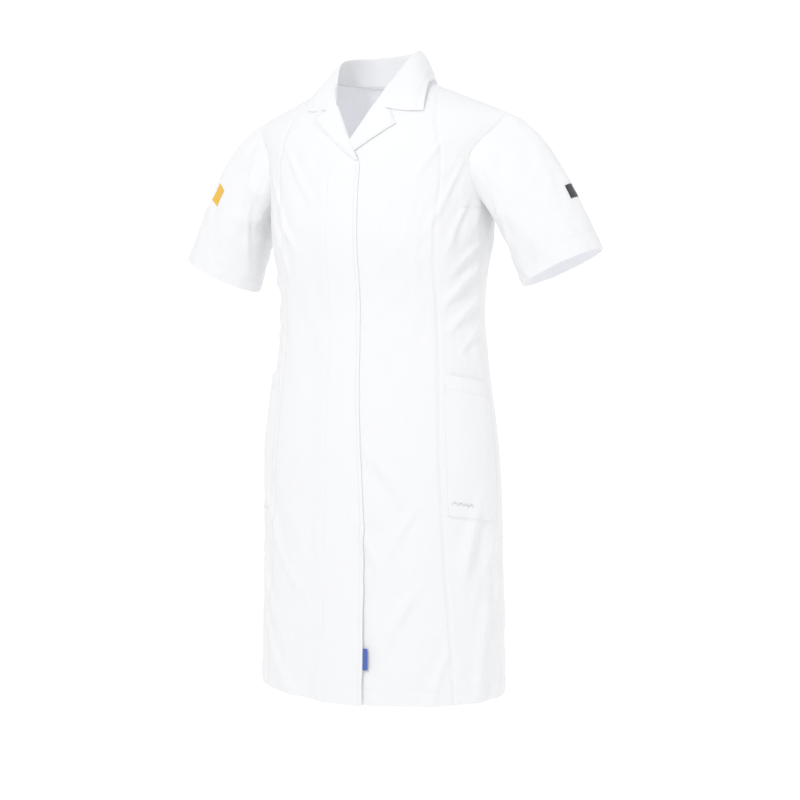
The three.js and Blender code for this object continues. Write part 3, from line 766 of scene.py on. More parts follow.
def join_pieces(name, objs):
    """One piece out of several meshes with one material."""
    verts, faces, base = [], [], 0
    for obj in objs:
        verts += [tuple(v.co) for v in obj.data.vertices]
        faces += [tuple(base + k for k in f.vertices) for f in obj.data.polygons]
        base = len(verts)
    joined = new_object(name, verts, faces)
    mat = objs[0].data.materials[0]
    for obj in objs:
        old = obj.data
        bpy.data.objects.remove(obj)
        bpy.data.meshes.remove(old)
    return finish_piece(joined, mat)


def on_surface(phi, z, out):
    """A line on the cloth and its normals."""
    lift = surface(phi, z, out)
    return lift, unit(surface(phi, z, out + 1.0) - lift)


# ---------------------------------------------------------------- body panels

def back_panels():
    phi, z = panel_grid(lambda z: -back_seam(z), back_seam, 62, 230)
    out = seam_roll(from_edge(phi, z, back_seam(z))) + seam_roll(from_edge(phi, z, -back_seam(z)))
    out = out + hem_puff(z, HEM_Z, HEM_BAND)
    centre = grid_mesh("back_centre", surface(math.pi - phi, z, out))
    finish_piece(centre, WHITE)
    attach(centre, "coat_body")
    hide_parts("back_centre_panel")
    for word, sign in SIDES:
        phi, z = panel_grid(back_seam, armhole_phi, 40, 230)
        out = seam_roll(from_edge(phi, z, back_seam(z)))
        out = out + seam_roll(from_edge(phi, z, armhole_phi(z)), 0.5)
        out = out + hem_puff(z, HEM_Z, HEM_BAND)
        points = surface((math.pi - phi) * sign, z, out)
        side = grid_mesh(f"back_side_{word}", points)
        finish_piece(side, WHITE)
        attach(side, "coat_body")
        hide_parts(f"back_side_panel_{word}")


def side_front_out(phi, z):
    out = seam_roll(from_edge(phi, z, front_seam(z)))
    out = out + seam_roll(from_edge(phi, z, armhole_phi(z)), 0.5)
    return out + hem_puff(z, HEM_Z, HEM_BAND)


def side_fronts():
    for word, sign in SIDES:
        phi, z = panel_grid(front_seam, armhole_phi, 34, 230)
        points = surface(phi * sign, z, side_front_out(phi, z))
        side = grid_mesh(f"side_front_{word}", points)
        finish_piece(side, WHITE)
        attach(side, "coat_body")
        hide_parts(f"side_front_panel_{word}")


def right_lift(phi, z):
    """How far the right front stands off the left one, in the right front's own coordinates."""
    reach = FLY_WIDTH + 36
    x = half_width(z) * np.sin(phi) + OVERLAP
    from_lean = half_width(z) * (np.sin(phi) - np.sin(right_edge(z)))
    lift = FLY_LIFT * smooth((reach - x) / (reach - FLY_WIDTH + 6))
    tuck = EDGE_TUCK * (1 - smooth(from_lean / OVERLAP))
    settle = smooth((GORGE_Z - z) / (GORGE_Z - BREAK_Z))
    return (lift - tuck) * settle


def front_shape(sign):
    def out(phi, z):
        x = half_width(z) * np.sin(phi) + OVERLAP
        lift = seam_roll(from_edge(phi, z, front_seam(z))) + hem_puff(z, HEM_Z, HEM_BAND)
        gape = smooth((-640 - z) / 324)
        if sign < 0:
            stitch = np.exp(-(((x - FLY_WIDTH) / 2.0) ** 2)) * smooth((BREAK_Z - 4 - z) / 8)
            lift = lift + right_lift(phi, z) - 0.7 * stitch
            lift = lift + 4.0 * gape * smooth((90 - x) / 90)
        else:
            lift = lift - 2.5 * gape * smooth((80 - x) / 80)
        edge = np.exp(-((x / 3.0) ** 2)) * smooth((V_Z - z) / 20)
        return lift - 0.4 * edge
    return out


FRONT_OUT = {"left": front_shape(1.0), "right": front_shape(-1.0)}


def fronts():
    for word, sign in SIDES:
        phi, z = panel_grid(EDGES[word], front_seam, 56, 240)
        points = surface(phi * sign, z, FRONT_OUT[word](phi, z))
        front = grid_mesh(f"front_{word}", points)
        finish_piece(front, WHITE)
        follow_front(front, word, sign)
        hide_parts(f"front_panel_{word}", f"front_chest_{word}")


def facings():
    for word, sign in SIDES:
        def facing_edge(z):
            return phi_of(FACING_WIDTH - OVERLAP + 0 * z, z)
        phi, z = panel_grid(EDGES[word], facing_edge, 20, 230, bottom=HEM_Z + 4, tops=BREAK_Z + 6)
        apart = 0.5 + 0.5 * smooth(from_edge(phi, z, EDGES[word](z)) / 18)
        out = FRONT_OUT[word](phi, z) - CLOTH - apart
        facing = grid_mesh(f"facing_{word}", surface(phi * sign, z, out), thick=LINING)
        finish_piece(facing, INSIDE_PAINTED_GLOW)
        follow_front(facing, word, sign)
        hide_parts(f"front_facing_{word}")


def hem_bands():
    """The turned-up edge inside the hem."""
    def band(name, start, end, columns, out_at, back, sign, nodes, follow, width):
        phi, z = panel_grid(start, end, columns, 6, bottom=HEM_Z + 0.3, tops=HEM_Z + HEM_BAND)
        out = out_at(phi, z) - CLOTH - LINING_GAP
        turned = (math.pi - phi) if back else phi
        strip = grid_mesh(name, surface(turned * sign, z, out), thick=LINING)
        finish_piece(strip, INSIDE_PAINTED_GLOW)
        follow(strip)
        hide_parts(*nodes)

    def puff(phi, z):
        return hem_puff(z, HEM_Z, HEM_BAND)

    def still(strip):
        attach(strip, "coat_body")

    band("back_hem_band", lambda z: -armhole_phi(z), armhole_phi, 90, puff, True, 1.0,
         ["back_hem"], still, 0.54)
    for word, sign in SIDES:
        band(f"side_hem_band_{word}", front_seam, armhole_phi, 24, puff, False, sign,
             [f"side_front_hem_{word}"], still, 0.12)

        def swing(strip, word=word, sign=sign):
            follow_front(strip, word, sign)
        band(f"front_hem_band_{word}", EDGES[word], front_seam, 34, FRONT_OUT[word], False, sign,
             [f"front_hem_{word}"], swing, 0.2)


# ---------------------------------------------------------------- pockets

def pocket_place(p, depth):
    """Angle and height of a point of the patch, p across and depth below the mouth."""
    z = POCKET_TOP - POCKET_SLANT * p - depth
    inset = POCKET_INSET / half_width(z)
    return lerp(front_seam(z) + inset, math.pi / 2 - inset, p), z


def pocket_out(p, depth):
    edge = np.minimum(np.minimum(p, 1 - p) * POCKET_WIDTH, POCKET_DEPTH - depth)
    bag = 3.4 * smooth(np.minimum(p, 1 - p) * 3.2) * smooth((POCKET_DEPTH - depth) / 120)
    flat = 1.5 * smooth(edge / 3.0) + 0.2
    stitched = -0.5 * np.exp(-(((depth - POCKET_BAND) / 1.6) ** 2))
    waves = np.sin(p * POCKET_WIDTH / 7.5 * 2 * math.pi)
    gather = 0.5 * waves * np.exp(-(((depth - POCKET_BAND) / 6) ** 2))
    return flat + bag + stitched + gather + 0.3


def pockets():
    for word, sign in SIDES:
        p, depth = grid(np.linspace(0, 1, 30), np.linspace(0, POCKET_DEPTH, 60))
        phi, z = pocket_place(p, depth)
        patch = grid_mesh(f"pocket_patch_{word}", surface(phi * sign, z, pocket_out(p, depth)), 0.8)
        finish_piece(patch, WHITE)
        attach(patch, "coat_body")
        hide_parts(f"pocket_{word}")
        p, depth = grid(np.linspace(0.02, 0.98, 26), np.linspace(0.6, POCKET_BAND, 8))
        phi, z = pocket_place(p, depth)
        inner = surface(phi * sign, z, pocket_out(p, depth) - 1.2)
        band = grid_mesh(f"pocket_band_{word}", inner, 0.4)
        finish_piece(band, INSIDE_PAINTED_GLOW)
        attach(band, "coat_body")
        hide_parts(f"pocket_hem_{word}")


# ---------------------------------------------------------------- lapels and collar

def lapel_place(t, w, word):
    """Where a point of the lapel lies, t up the roll line and w out to the edge."""
    notch, tip, turn = NOTCH[word], LAPEL_TIP[word], TIP_ALONG[word]
    foot_z = BREAK_Z + 4
    z = lerp(foot_z, GORGE_Z + 1, t)
    low = t < turn
    s = np.where(low, t / turn, (t - turn) / (1 - turn))
    foot_x = front_edge_x(np.array(foot_z)) + 5
    edge_x = np.where(low, lerp(foot_x, tip[0], s), lerp(tip[0], notch[0], s))
    edge_z = np.where(low, lerp(foot_z, tip[1], s), lerp(tip[1], notch[1], s))
    roll = front_edge_x(z) - 1.2 * smooth(t * 8)
    return lerp(roll, edge_x, w), lerp(z, edge_z, w)


def lapel_out(t, w, x, z, sign):
    phi = phi_of(x, z)
    under = right_lift(phi, z) if sign < 0 else 0.0
    roll = COLLAR_LIFT * np.sqrt(np.clip(w / 0.1, 0, 1)) + 1.0 * np.exp(-(((w - 0.12) / 0.1) ** 2))
    return under + roll + 0.3


def lapels():
    for word, sign in SIDES:
        t, w = grid(np.linspace(0, 1, 44), np.linspace(0, 1, 24) ** 1.3)
        x, z = lapel_place(t, w, word)
        points = surface(phi_of(x, z) * sign, z, lapel_out(t, w, x, z, sign))
        lapel = grid_mesh(f"lapel_piece_{word}", points, 1.2)
        finish_piece(lapel, WHITE)
        follow_front(lapel, word, sign)
        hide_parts(f"lapel_{word}")


# neck seam, roll line, middle of the fall and its edge, from the back to the front end
COLLAR = {
    "seam": [(0, 70, 2), (38, 58, 2), (68, 18, 2), (68, -22, 0), (52, -66, -18), (38, -90, -44)],
    "roll": [(0, 60, 51), (39, 50, 50), (58, 11, 45), (59, -23, 31), (43, -68, -14), (32, -95, -47)],
    "fall": [(0, 77, 36), (46, 68, 34), (72, 18, 34), (76, -34, 17), (72, -74, -22), (66, -92, -60)],
    "edge": [(0, 86, 0), (58, 76, -2), (82, 20, -2), (94, -30, -10), (102, -62, -34), (105, -76, -57)],
}
STAND_ROWS = 14
FALL_ROWS = 20
COLLAR_TILT = 0.06  # the wearer's right side of the collar sits lower
RIGHT_TIP = (12.0, 2.0, 8.0)  # how much nearer the neck the right collar point lies


def spline(points, t):
    """A smooth curve through points, at parameters from 0 to 1."""
    p = np.asarray(points, float)
    x = np.linspace(0, 1, len(p))
    rows = np.concatenate([x[:, None], p], 1)
    return np.stack([through(rows, k + 1, t) for k in range(3)], -1)


def keep_off_body(p, room):
    """Moves collar points out until they clear the chest, the shoulders and the back."""
    x, y, z = p[..., 0], p[..., 1], p[..., 2]
    low = np.minimum(z, shoulder_z(x) - 0.5)
    phi = phi_of(x, low)
    phi = np.where(y < 0, phi, math.pi - phi)
    skin = surface(phi, low, room)
    inside = (z < shoulder_z(x) + room) & (np.abs(y) < np.abs(skin[..., 1]))
    return np.stack([x, np.where(inside, skin[..., 1], y), z], -1)


def collar():
    t = np.linspace(0, 1, 60)
    full = np.concatenate([-t[::-1], t[1:]])
    a = np.abs(full)
    seam, roll, fall, edge = (spline(COLLAR[k], a) for k in ("seam", "roll", "fall", "edge"))
    w = np.linspace(0, 1, STAND_ROWS)[None, :, None]
    stand = seam[:, None] * (1 - w) + roll[:, None] * w
    stand = stand + np.sin(w * math.pi) * 1.5 * unit(seam * [1, 1, 0])[:, None]
    w = np.linspace(0, 1, FALL_ROWS)[None, :, None]
    down = (1 - w) ** 2 * roll[:, None] + 2 * w * (1 - w) * fall[:, None] + w ** 2 * edge[:, None]
    out_way = unit(roll * [1, 1, 0])[:, None]
    down = down + out_way * 1.5
    points = np.concatenate([stand, down], 1)
    for _ in range(4):
        middle = (points[:, :-2] + points[:, 2:]) / 2
        points[:, 1:-1] = 0.5 * points[:, 1:-1] + 0.5 * middle
    points[:, STAND_ROWS:] = keep_off_body(points[:, STAND_ROWS:], COLLAR_LIFT + 0.6)
    rows = np.arange(STAND_ROWS + FALL_ROWS)
    fall = np.clip((rows - STAND_ROWS) / (FALL_ROWS - 1), 0, 1)[None, :]
    end = (smooth((a - 0.5) / 0.5) * (full < 0))[:, None] * fall
    points = points + end[..., None] * np.array([-RIGHT_TIP[0], RIGHT_TIP[1], RIGHT_TIP[2]])
    points[..., 0] *= np.where(full < 0, -1.0, 1.0)[:, None]
    high = smooth((points[..., 2] + 30) / 60)
    points[..., 2] += COLLAR_TILT * points[..., 0] * high
    showing = points * np.array([1.0, 1.0, 0.0])
    showing[:, :STAND_ROWS] = 0
    obj = grid_mesh("collar", points, 1.3, facing=showing)
    finish_piece(obj, WHITE)
    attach(obj, "coat_body")
    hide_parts("collar_fall", "collar_stand")
    return points


# ---------------------------------------------------------------- inside the back of the neck

def inside_back(x, z, depth):
    return surface(math.pi - phi_of(x, z), z, -depth)


def inner_patch(name, x0, x1, top, bottom, depth, mat, nodes, shape=None):
    x, z = grid(np.linspace(x0, x1, 24), np.linspace(top, bottom, 24))
    if shape is not None:
        z = top + (z - top) * shape(x)
    patch = grid_mesh(name, inside_back(x, z, depth)[:, ::-1], LINING)
    finish_piece(patch, mat)
    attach(patch, "coat_body")
    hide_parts(*nodes)
    return patch


def neck_inside():
    facing = inner_patch(
        "neck_facing", -56, 56, -3, -88, CLOTH + 0.6, INSIDE_PAINTED_GLOW, ["back_neck_facing"],
        shape=lambda x: np.sqrt(1 - (x / NECK_HALF) ** 2),
    )
    label = inner_patch(
        "neck_patch", -23, 23, -5, -67, CLOTH + 1.9, BLACK, ["neck_label"],
    )
    size = inner_patch(
        "size_patch", -12, 12, -31, -51, CLOTH + 2.9, TAPE, ["size_label"],
    )


LOOP_HALF = 19.0
LOOP_DROP = 46.0
LOOP_TAPE = 4.6


def hanger_loop():
    """A tape sewn in at both ends, hanging in a U in front of the label."""
    lowest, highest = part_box("hanger_loop")
    y = (lowest.y + highest.y) / 2 / MM
    top = highest.z / MM
    straight = LOOP_DROP - LOOP_HALF
    middle = LOOP_HALF - LOOP_TAPE / 2
    down = np.linspace(0, 1, 10)
    route = [(-middle, -straight * s) for s in down]
    route += [(-middle * math.cos(a), -straight - middle * math.sin(a))
              for a in np.linspace(0, math.pi, 26)[1:-1]]
    route += [(middle, -straight * s) for s in down[::-1]]
    route = np.array(route)
    along = unit(np.gradient(route, axis=0))
    across = np.stack([along[:, 1], -along[:, 0]], -1)
    w = np.linspace(-0.5, 0.5, 6)
    flat = route[:, None] + across[:, None] * (w * LOOP_TAPE)[None, :, None]
    bow = 1.2 * np.sin(np.linspace(0, math.pi, len(route)))[:, None]
    crown = 0.5 * np.cos(w * math.pi)[None, :] + bow
    points = np.stack([flat[..., 0], y - crown, top + flat[..., 1]], -1)
    loop = grid_mesh("hanger_tape", points, 0.7, facing=0 * points - [0, 1, 0])
    finish_piece(loop, TAPE)
    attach(loop, "hanger_loop")
    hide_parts("hanger_loop")


# ---------------------------------------------------------------- sleeves

def hem_top(word):
    drop = SLEEVE_DROP[word]
    return np.array([
        SHOULDER_HALF + SLEEVE_LENGTH * math.cos(drop), 0,
        SHOULDER_Z - SLEEVE_LENGTH * math.sin(drop),
    ])


def armhole_ring(angle):
    z = lerp(UNDERARM_Z, SHOULDER_Z, (1 + np.cos(angle)) / 2)
    phi = armhole_phi(z)
    phi = np.where(angle % (2 * math.pi) < math.pi, phi, math.pi - phi)
    ring = surface(phi, z, seam_roll(np.zeros_like(z), 0.4))
    ring[..., 1] *= smooth(np.abs(np.sin(angle)) * 6)
    return ring


def hem_ring(angle, word):
    out = np.array([math.cos(SLEEVE_HEM_TILT), 0, math.sin(SLEEVE_HEM_TILT)])
    centre = hem_top(word) - out * SLEEVE_HEM_HALF
    ring = centre + np.cos(angle)[..., None] * out * SLEEVE_HEM_HALF
    ring[..., 1] = -SLEEVE_HEM_DEPTH * np.sin(angle)
    return ring


SLEEVE_FOLDS = [
    # angle and distance down the sleeve of both ends, half width in mm, height in mm
    (0.9, 0.0, 2.4, 0.55, 8, 2.6),
    (1.5, 0.05, 2.7, 0.8, 8, 2.2),
    (0.5, 0.2, 1.0, 0.95, 9, 1.8),
    (2.0, 0.4, 1.5, 0.98, 9, 1.6),
    (4.0, 0.1, 4.8, 0.7, 9, 2.4),
    (5.4, 0.1, 5.1, 0.9, 9, 2.0),
]


def sleeve_base(angle, t, word):
    start, end = armhole_ring(angle), hem_ring(angle, word)
    length = np.linalg.norm(end - start, axis=-1, keepdims=True)
    top = (1 + np.cos(angle)) / 2
    leave = unit(np.stack([1 + 0 * angle, -0.25 * np.sin(angle), lerp(-1.1, -0.42, top)], -1))
    arrive = np.array([math.sin(SLEEVE_HEM_TILT), 0, -math.cos(SLEEVE_HEM_TILT)])
    t = np.asarray(t)[..., None]
    b = start + leave * length * 0.3
    c = end - arrive * length * 0.36
    return (1 - t) ** 3 * start + 3 * t * (1 - t) ** 2 * b + 3 * t * t * (1 - t) * c + t ** 3 * end


SLEEVE_COLUMNS = 200
SLEEVE_ROWS = 130
SLEEVE_LAST_ROW = 120  # the row of the map that lies at the hem
SLEEVE_LAYERS = [(90, 0.5, 1.3), (60, -0.4, 0.8), (34, 0.2, 0.35)]
SLEEVE_MAP = creases(SLEEVE_COLUMNS, SLEEVE_ROWS, 2.0, 2.0, SLEEVE_LAYERS, 40)


def sleeve_crease(angle, t, word):
    """Crumpled cloth of a sleeve, unlike on the two sides."""
    shift = 0.0 if word == "left" else 77.0
    u = (angle % (2 * math.pi)) / (2 * math.pi) * SLEEVE_COLUMNS + shift
    return read_map(SLEEVE_MAP, u, np.clip(t, 0, 1) * SLEEVE_LAST_ROW)


def sleeve_drape(angle, t, word):
    out = sleeve_crease(angle + 0 * t, t + 0 * angle, word)
    for a0, t0, a1, t1, wide, high in SLEEVE_FOLDS:
        x = wrap(angle - a0) * SLEEVE_RADIUS
        y = (t - t0) * SLEEVE_RUN
        ex, ey = (a1 - a0) * SLEEVE_RADIUS, (t1 - t0) * SLEEVE_RUN
        length = math.hypot(ex, ey)
        along = (x * ex + y * ey) / length
        across = (x * ey - y * ex) / length
        ends = smooth(along / (0.4 * length)) * smooth((length - along) / (0.4 * length))
        crest = np.exp(-((across / wide) ** 2)) - 0.4 * np.exp(-((across / 2 / wide) ** 2))
        out += 1.5 * high * ends * crest
    hem = (1 - t) * SLEEVE_RUN
    out += -0.5 * np.exp(-(((hem - HEM_BAND) / 2.2) ** 2)) + 0.4 * smooth((HEM_BAND - hem) / 4)
    out += 1.2 * smooth(t * 8) * (1 - smooth(t * 3)) * (1 + np.cos(angle)) / 2
    return out


def sleeve_point(angle, t, word, out=0.0):
    d = 0.01

    def at(a, s):
        return sleeve_base(a, np.clip(s, 0, 1), word)

    around = at(angle + d, t) - at(angle - d, t)
    down = at(angle, t + d) - at(angle, t - d)
    normal = unit(np.cross(down, around))
    middle = (at(0 * angle, t) + at(0 * angle + math.pi, t)) / 2
    point = at(angle, t)
    normal = normal * np.sign(np.sum(normal * (point - middle), -1, keepdims=True))
    off = (sleeve_drape(angle, t, word) * smooth(t * 10) + out)[..., None]
    return point + normal * off


def sleeves():
    around = np.linspace(0, 2 * math.pi, 97)[:-1]
    for word, sign in SIDES:
        angle, t = grid(around, np.linspace(0, 1, 52) ** 0.95)
        points = mirror(sleeve_point(angle, t, word), sign)
        tube = grid_mesh(f"sleeve_tube_{word}", points, CLOTH, ring=True)
        finish_piece(tube, WHITE)
        follow_sleeve(tube)
        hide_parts(f"sleeve_{word}")
        start = 1 - HEM_BAND / SLEEVE_RUN
        angle, t = grid(around, np.linspace(start, 0.998, 7))
        points = mirror(sleeve_point(angle, t, word, -CLOTH - LINING_GAP), sign)
        band = grid_mesh(f"sleeve_band_{word}", points, LINING, ring=True)
        finish_piece(band, INSIDE_PAINTED_GLOW)
        follow_sleeve(band)
        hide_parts(f"sleeve_hem_{word}")
    sleeve_label("left", 1.0, 0.22, 0.18, 0.615, 0.695, BLACK)
    sleeve_label("right", -1.0, 0.88, 0.13, 0.465, 0.58, YELLOW)


def sleeve_label(word, sign, angle, spread, start, end, mat):
    a, t = grid(np.linspace(angle - spread, angle + spread, 18), np.linspace(start, end, 14))
    points = mirror(sleeve_point(a, t, word, 1.0), sign)
    label = grid_mesh(f"sleeve_tab_{word}", points, 0.8)
    finish_piece(label, mat)
    follow_sleeve(label)
    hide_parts(f"sleeve_label_{word}")


# ---------------------------------------------------------------- press studs and flag label

def lathe(name, profile, origin, axis, sides=28):
    """A turned metal piece: (radius, height) pairs about an axis."""
    z = np.array(axis) / np.linalg.norm(axis)
    x = unit(np.cross(z, [0, 0, 1.0]))
    y = np.cross(z, x)
    verts = []
    for r, h in profile:
        for k in range(sides):
            a = 2 * math.pi * k / sides
            verts.append(origin + z * h + (x * math.cos(a) + y * math.sin(a)) * r)
    faces = closed_tube(0, len(profile), sides)
    obj = new_object(name, (np.array(verts) * MM).tolist(), faces)
    obj.data.set_sharp_from_angle(angle=math.radians(40))
    return finish_piece(obj, METAL)


STUD_PROFILE = [(5.0, 0), (5.4, 0.25), (5.2, 0.5), (4.2, 0.62), (2.6, 0.66), (2.1, 0.8),
                (2.15, 1.1), (1.9, 1.35), (1.2, 1.45), (0.3, 1.47)]
SOCKET_PROFILE = [(5.0, 0), (5.4, 0.25), (5.3, 0.9), (4.8, 1.2), (3.4, 1.25), (2.7, 1.1),
                  (2.5, 0.7), (1.2, 0.62), (0.3, 0.6)]


def press_studs():
    for k in range(1, STUDS + 1):
        low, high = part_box(f"stud_{k}")
        z = np.array([(low.z + high.z) / 2 / MM])
        phi = np.array([0.0])
        seat, out = on_surface(phi, z, FRONT_OUT["left"](phi, z) + 0.1)
        stud = lathe(f"press_stud_{k}", STUD_PROFILE, seat[0], out[0])
        follow_front(stud, "left", 1.0)
        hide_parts(f"stud_{k}")
        inner, out = on_surface(phi, z, FRONT_OUT["right"](phi, z) - CLOTH - 1.6)
        socket = lathe(f"press_socket_{k}", SOCKET_PROFILE, inner[0], -out[0])
        follow_front(socket, "right", -1.0)
        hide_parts(f"socket_{k}")


def flag_label():
    """A small tab sewn into the right front's edge near the hem."""
    w, z = grid(np.linspace(-2, 8, 6), np.linspace(HEM_Z + 88, HEM_Z + 55, 14))
    phi = right_edge(z) - w / half_width(z)
    out = FRONT_OUT["right"](right_edge(z), z) - 1.6
    flag = grid_mesh("edge_flag", surface(-phi, z, out)[::-1], 0.6)
    finish_piece(flag, BLUE)
    follow_front(flag, "right", -1.0)
    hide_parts("edge_label")


# ---------------------------------------------------------------- topstitching

def seam_line(name, phi, z, out, sign):
    points, normals = on_surface(phi * sign, z, out)
    return stitches(name, points, normals)


def topstitching():
    z = np.linspace(HEM_Z + 2, BREAK_Z - 2, 260)
    fly = phi_of(FLY_WIDTH - OVERLAP + 0 * z, z)
    for word, sign in SIDES:
        out = FRONT_OUT[word]
        edge = EDGES[word](z) + EDGE_STITCH / half_width(z)
        rows = [seam_line("row", edge, z, out(edge, z), sign)]
        if sign < 0:
            rows.append(seam_line("row", fly, z, out(fly, z), sign))
        p = np.linspace(0.02, 0.98, 60)
        hem_z = HEM_Z + HEM_BAND + 0 * p
        hem = lerp(EDGES[word](hem_z), front_seam(hem_z), p)
        rows.append(seam_line("row", hem, hem_z, out(hem, hem_z), sign))
        zs = np.linspace(HEM_Z + 3, -60, 260)
        seam = front_seam(zs) - SEAM_STITCH / half_width(zs)
        rows.append(seam_line("row", seam, zs, out(seam, zs), sign))
        follow_front(join_pieces(f"front_topstitch_{word}", rows), word, sign)


def still_stitching():
    rows = []
    for word, sign in SIDES:
        p = np.linspace(0.02, 0.98, 40)
        hem_z = HEM_Z + HEM_BAND + 0 * p
        hem = lerp(front_seam(hem_z), armhole_phi(hem_z), p)
        rows.append(seam_line("row", hem, hem_z, side_front_out(hem, hem_z), sign))
        depth = np.linspace(0, POCKET_DEPTH - 3, 90)
        for p in (0.03, 0.97):
            phi, z = pocket_place(p + 0 * depth, depth)
            rows.append(seam_line("row", phi, z, pocket_out(p + 0 * depth, depth), sign))
        across = np.linspace(0.03, 0.97, 40)
        for level in (POCKET_BAND, POCKET_DEPTH - 3):
            phi, z = pocket_place(across, level + 0 * across)
            rows.append(seam_line("row", phi, z, pocket_out(across, level + 0 * across), sign))
        zs = np.linspace(HEM_Z + 3, -60, 260)
        seam = back_seam(zs) - SEAM_STITCH / half_width(zs)
        out = seam_roll(from_edge(seam, zs, back_seam(zs)))
        points, normals = on_surface((math.pi - seam) * sign, zs, out)
        rows.append(stitches("row", points, normals))
    p = np.linspace(-0.99, 0.99, 160)
    hem_z = HEM_Z + HEM_BAND + 0 * p
    phi = math.pi - p * armhole_phi(hem_z)
    rows.append(seam_line("row", phi, hem_z, hem_puff(hem_z, HEM_Z, HEM_BAND), 1.0))
    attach(join_pieces("body_topstitch", rows), "coat_body")


def embroidery():
    """A small plain zigzag sewn in grey on the wearer's left pocket."""
    p = np.linspace(0.08, 0.42, 81)
    depth = 192 + 5 * np.abs((np.linspace(0, 8, 81) % 2) - 1)
    phi, z = pocket_place(p, depth)
    points, normals = on_surface(phi, z, pocket_out(p, depth))
    row = stitches("pocket_zigzag", points, normals, pitch=1.6, fill=0.95, radius=0.4)
    finish_piece(row, GREY_THREAD)
    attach(row, "coat_body")


def sleeve_stitching():
    for word, sign in SIDES:
        angle = np.linspace(0, 2 * math.pi, 140)
        t = 1 - HEM_BAND / SLEEVE_RUN + 0 * angle
        line = mirror(sleeve_point(angle, t, word, 0.0), sign)
        normal = mirror(sleeve_point(angle, t, word, 1.0), sign) - line
        row = stitches(f"sleeve_topstitch_{word}", line, normal)
        follow_sleeve(row)


def collar_stitching(points):
    """A row of stitches inside the collar's edge."""
    line = points[2:-2, -4]
    normal = unit(np.cross(np.gradient(points, axis=0), np.gradient(points, axis=1)))[2:-2, -4]
    outward = np.sign(np.sum(normal * unit(line * [1, 1, 0]), -1, keepdims=True))
    row = stitches("collar_topstitch", line, normal * outward)
    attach(row, "coat_body")


def lapel_stitching():
    for word, sign in SIDES:
        t = np.linspace(0.03, 0.99, 60)
        w = 1 - EDGE_STITCH / np.maximum(70 * smooth(t * 1.6), 12)
        x, z = lapel_place(t, w, word)
        out = lapel_out(t, w, x, z, sign)
        points, normals = on_surface(phi_of(x, z) * sign, z, out)
        follow_front(stitches(f"lapel_topstitch_{word}", points, normals), word, sign)


# ---------------------------------------------------------------- camera, light and floor

AZIMUTH = math.radians(25)
CAMERA_DISTANCE = 2.55
CAMERA_Z = -0.345
FOCAL_PIXELS = 1592.0
AIM_RIGHT = 0.029
AIM_Z = -0.505


def camera():
    data = bpy.data.cameras.new("camera")
    data.sensor_width = 36.0
    data.lens = FOCAL_PIXELS / 800 * data.sensor_width
    cam = bpy.data.objects.new("camera", data)
    bpy.context.collection.objects.link(cam)
    toward = Vector((math.sin(AZIMUTH), -math.cos(AZIMUTH), 0))
    right = Vector((math.cos(AZIMUTH), math.sin(AZIMUTH), 0))
    cam.location = toward * CAMERA_DISTANCE + Vector((0, 0, CAMERA_Z))
    target = right * AIM_RIGHT + Vector((0, 0, AIM_Z))
    cam.rotation_euler = (target - cam.location).to_track_quat("-Z", "Y").to_euler()
    bpy.context.scene.camera = cam


def area_light(name, place, aim, size, power, colour=(1, 1, 1)):
    data = bpy.data.lights.new(name, "AREA")
    data.shape = "DISK"
    data.size = size
    data.energy = power
    data.color = colour
    lamp = bpy.data.objects.new(name, data)
    bpy.context.collection.objects.link(lamp)
    lamp.location = place
    lamp.rotation_euler = (Vector(aim) - Vector(place)).to_track_quat("-Z", "Y").to_euler()


FLOOR_DROP = 0.5  # the coat hangs this far above the floor
FLOOR_RADIUS = 3.4
BOWL_CURVE = 3.6
BOWL_HEIGHT = 6.5


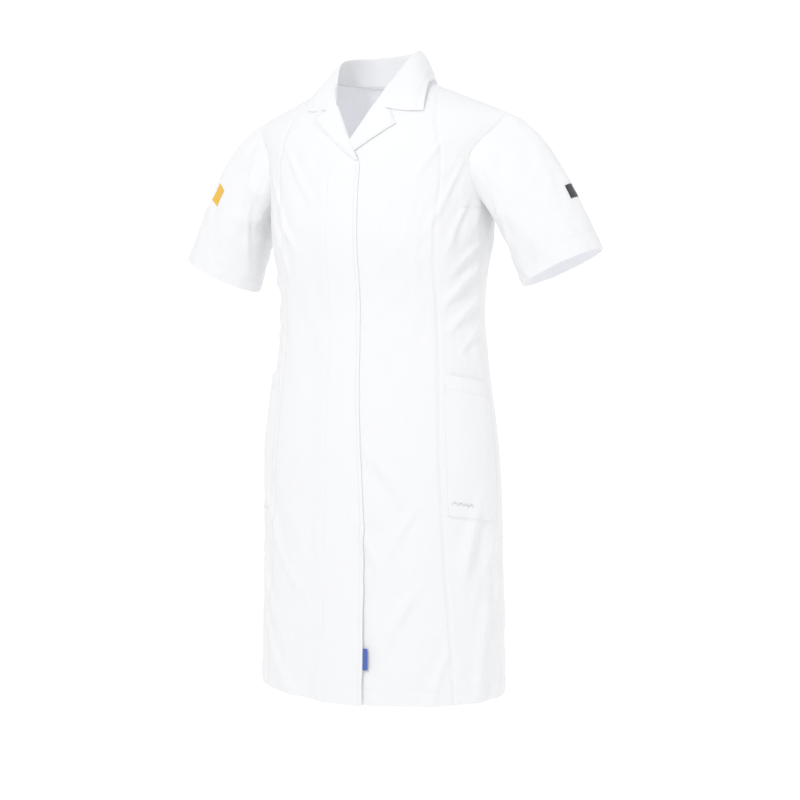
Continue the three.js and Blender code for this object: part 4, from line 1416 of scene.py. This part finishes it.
def bowl():
    """A pale round floor that curves up into a wall all round, so that no view has an edge."""
    floor_z = HEM_Z * MM - FLOOR_DROP
    line = [(0.0, 0.0), (FLOOR_RADIUS, 0.0)]
    for k in range(1, 17):
        a = k / 16 * math.pi / 2
        line.append((FLOOR_RADIUS + BOWL_CURVE * math.sin(a), BOWL_CURVE * (1 - math.cos(a))))
    line.append((FLOOR_RADIUS + BOWL_CURVE, BOWL_HEIGHT))
    sides = 64
    verts = [
        (r * math.cos(2 * math.pi * k / sides), r * math.sin(2 * math.pi * k / sides), floor_z + z)
        for r, z in line[1:] for k in range(sides)
    ]
    faces = [tuple(range(sides))]
    for i in range(len(line) - 2):
        for k in range(sides):
            a, b = i * sides + k, i * sides + (k + 1) % sides
            faces.append((a, a + sides, b + sides, b))
    floor = new_object("floor", verts, faces)
    mat, tree, bsdf = new_material("floor_paper", (0.12, 0.12, 0.12), 0.95)
    bsdf.inputs["Specular IOR Level"].default_value = 0.0
    bsdf.inputs["Emission Color"].default_value = (1, 1, 1, 1)
    place = node(tree, "ShaderNodeTexCoord").outputs["Object"]
    split = tree.nodes.new("ShaderNodeSeparateXYZ")
    tree.links.new(place, split.inputs[0])
    glow = node(tree, "ShaderNodeMapRange", interpolation_type="SMOOTHSTEP")
    glow.inputs["From Min"].default_value = -2.6
    glow.inputs["From Max"].default_value = 0.6
    glow.inputs["To Min"].default_value = 0.62
    glow.inputs["To Max"].default_value = 1.0
    tree.links.new(split.outputs[1], glow.inputs["Value"])
    tree.links.new(glow.outputs[0], bsdf.inputs["Emission Strength"])
    floor.data.materials.append(mat)


def studio():
    bowl()
    world = bpy.data.worlds.new("studio")
    world.use_nodes = True
    back = world.node_tree.nodes["Background"]
    back.inputs[0].default_value = (0.97, 0.97, 1.0, 1)
    back.inputs[1].default_value = 0.8
    bpy.context.scene.world = world
    centre = (0, 0, -0.45)
    area_light("key", (-0.3, -3.3, 1.3), centre, 0.6, 40, (1.0, 0.998, 0.985))
    area_light("fill", (2.4, -2.6, 1.0), centre, 0.8, 10, (1.0, 0.998, 0.985))
    bpy.context.scene.view_settings.view_transform = "Standard"
    bpy.context.scene.view_settings.look = "None"


back_panels()
side_fronts()
fronts()
facings()
hem_bands()
pockets()
lapels()
collar_points = collar()
neck_inside()
hanger_loop()
sleeves()
press_studs()
flag_label()
topstitching()
still_stitching()
embroidery()
sleeve_stitching()
collar_stitching(collar_points)
lapel_stitching()
camera()
studio()
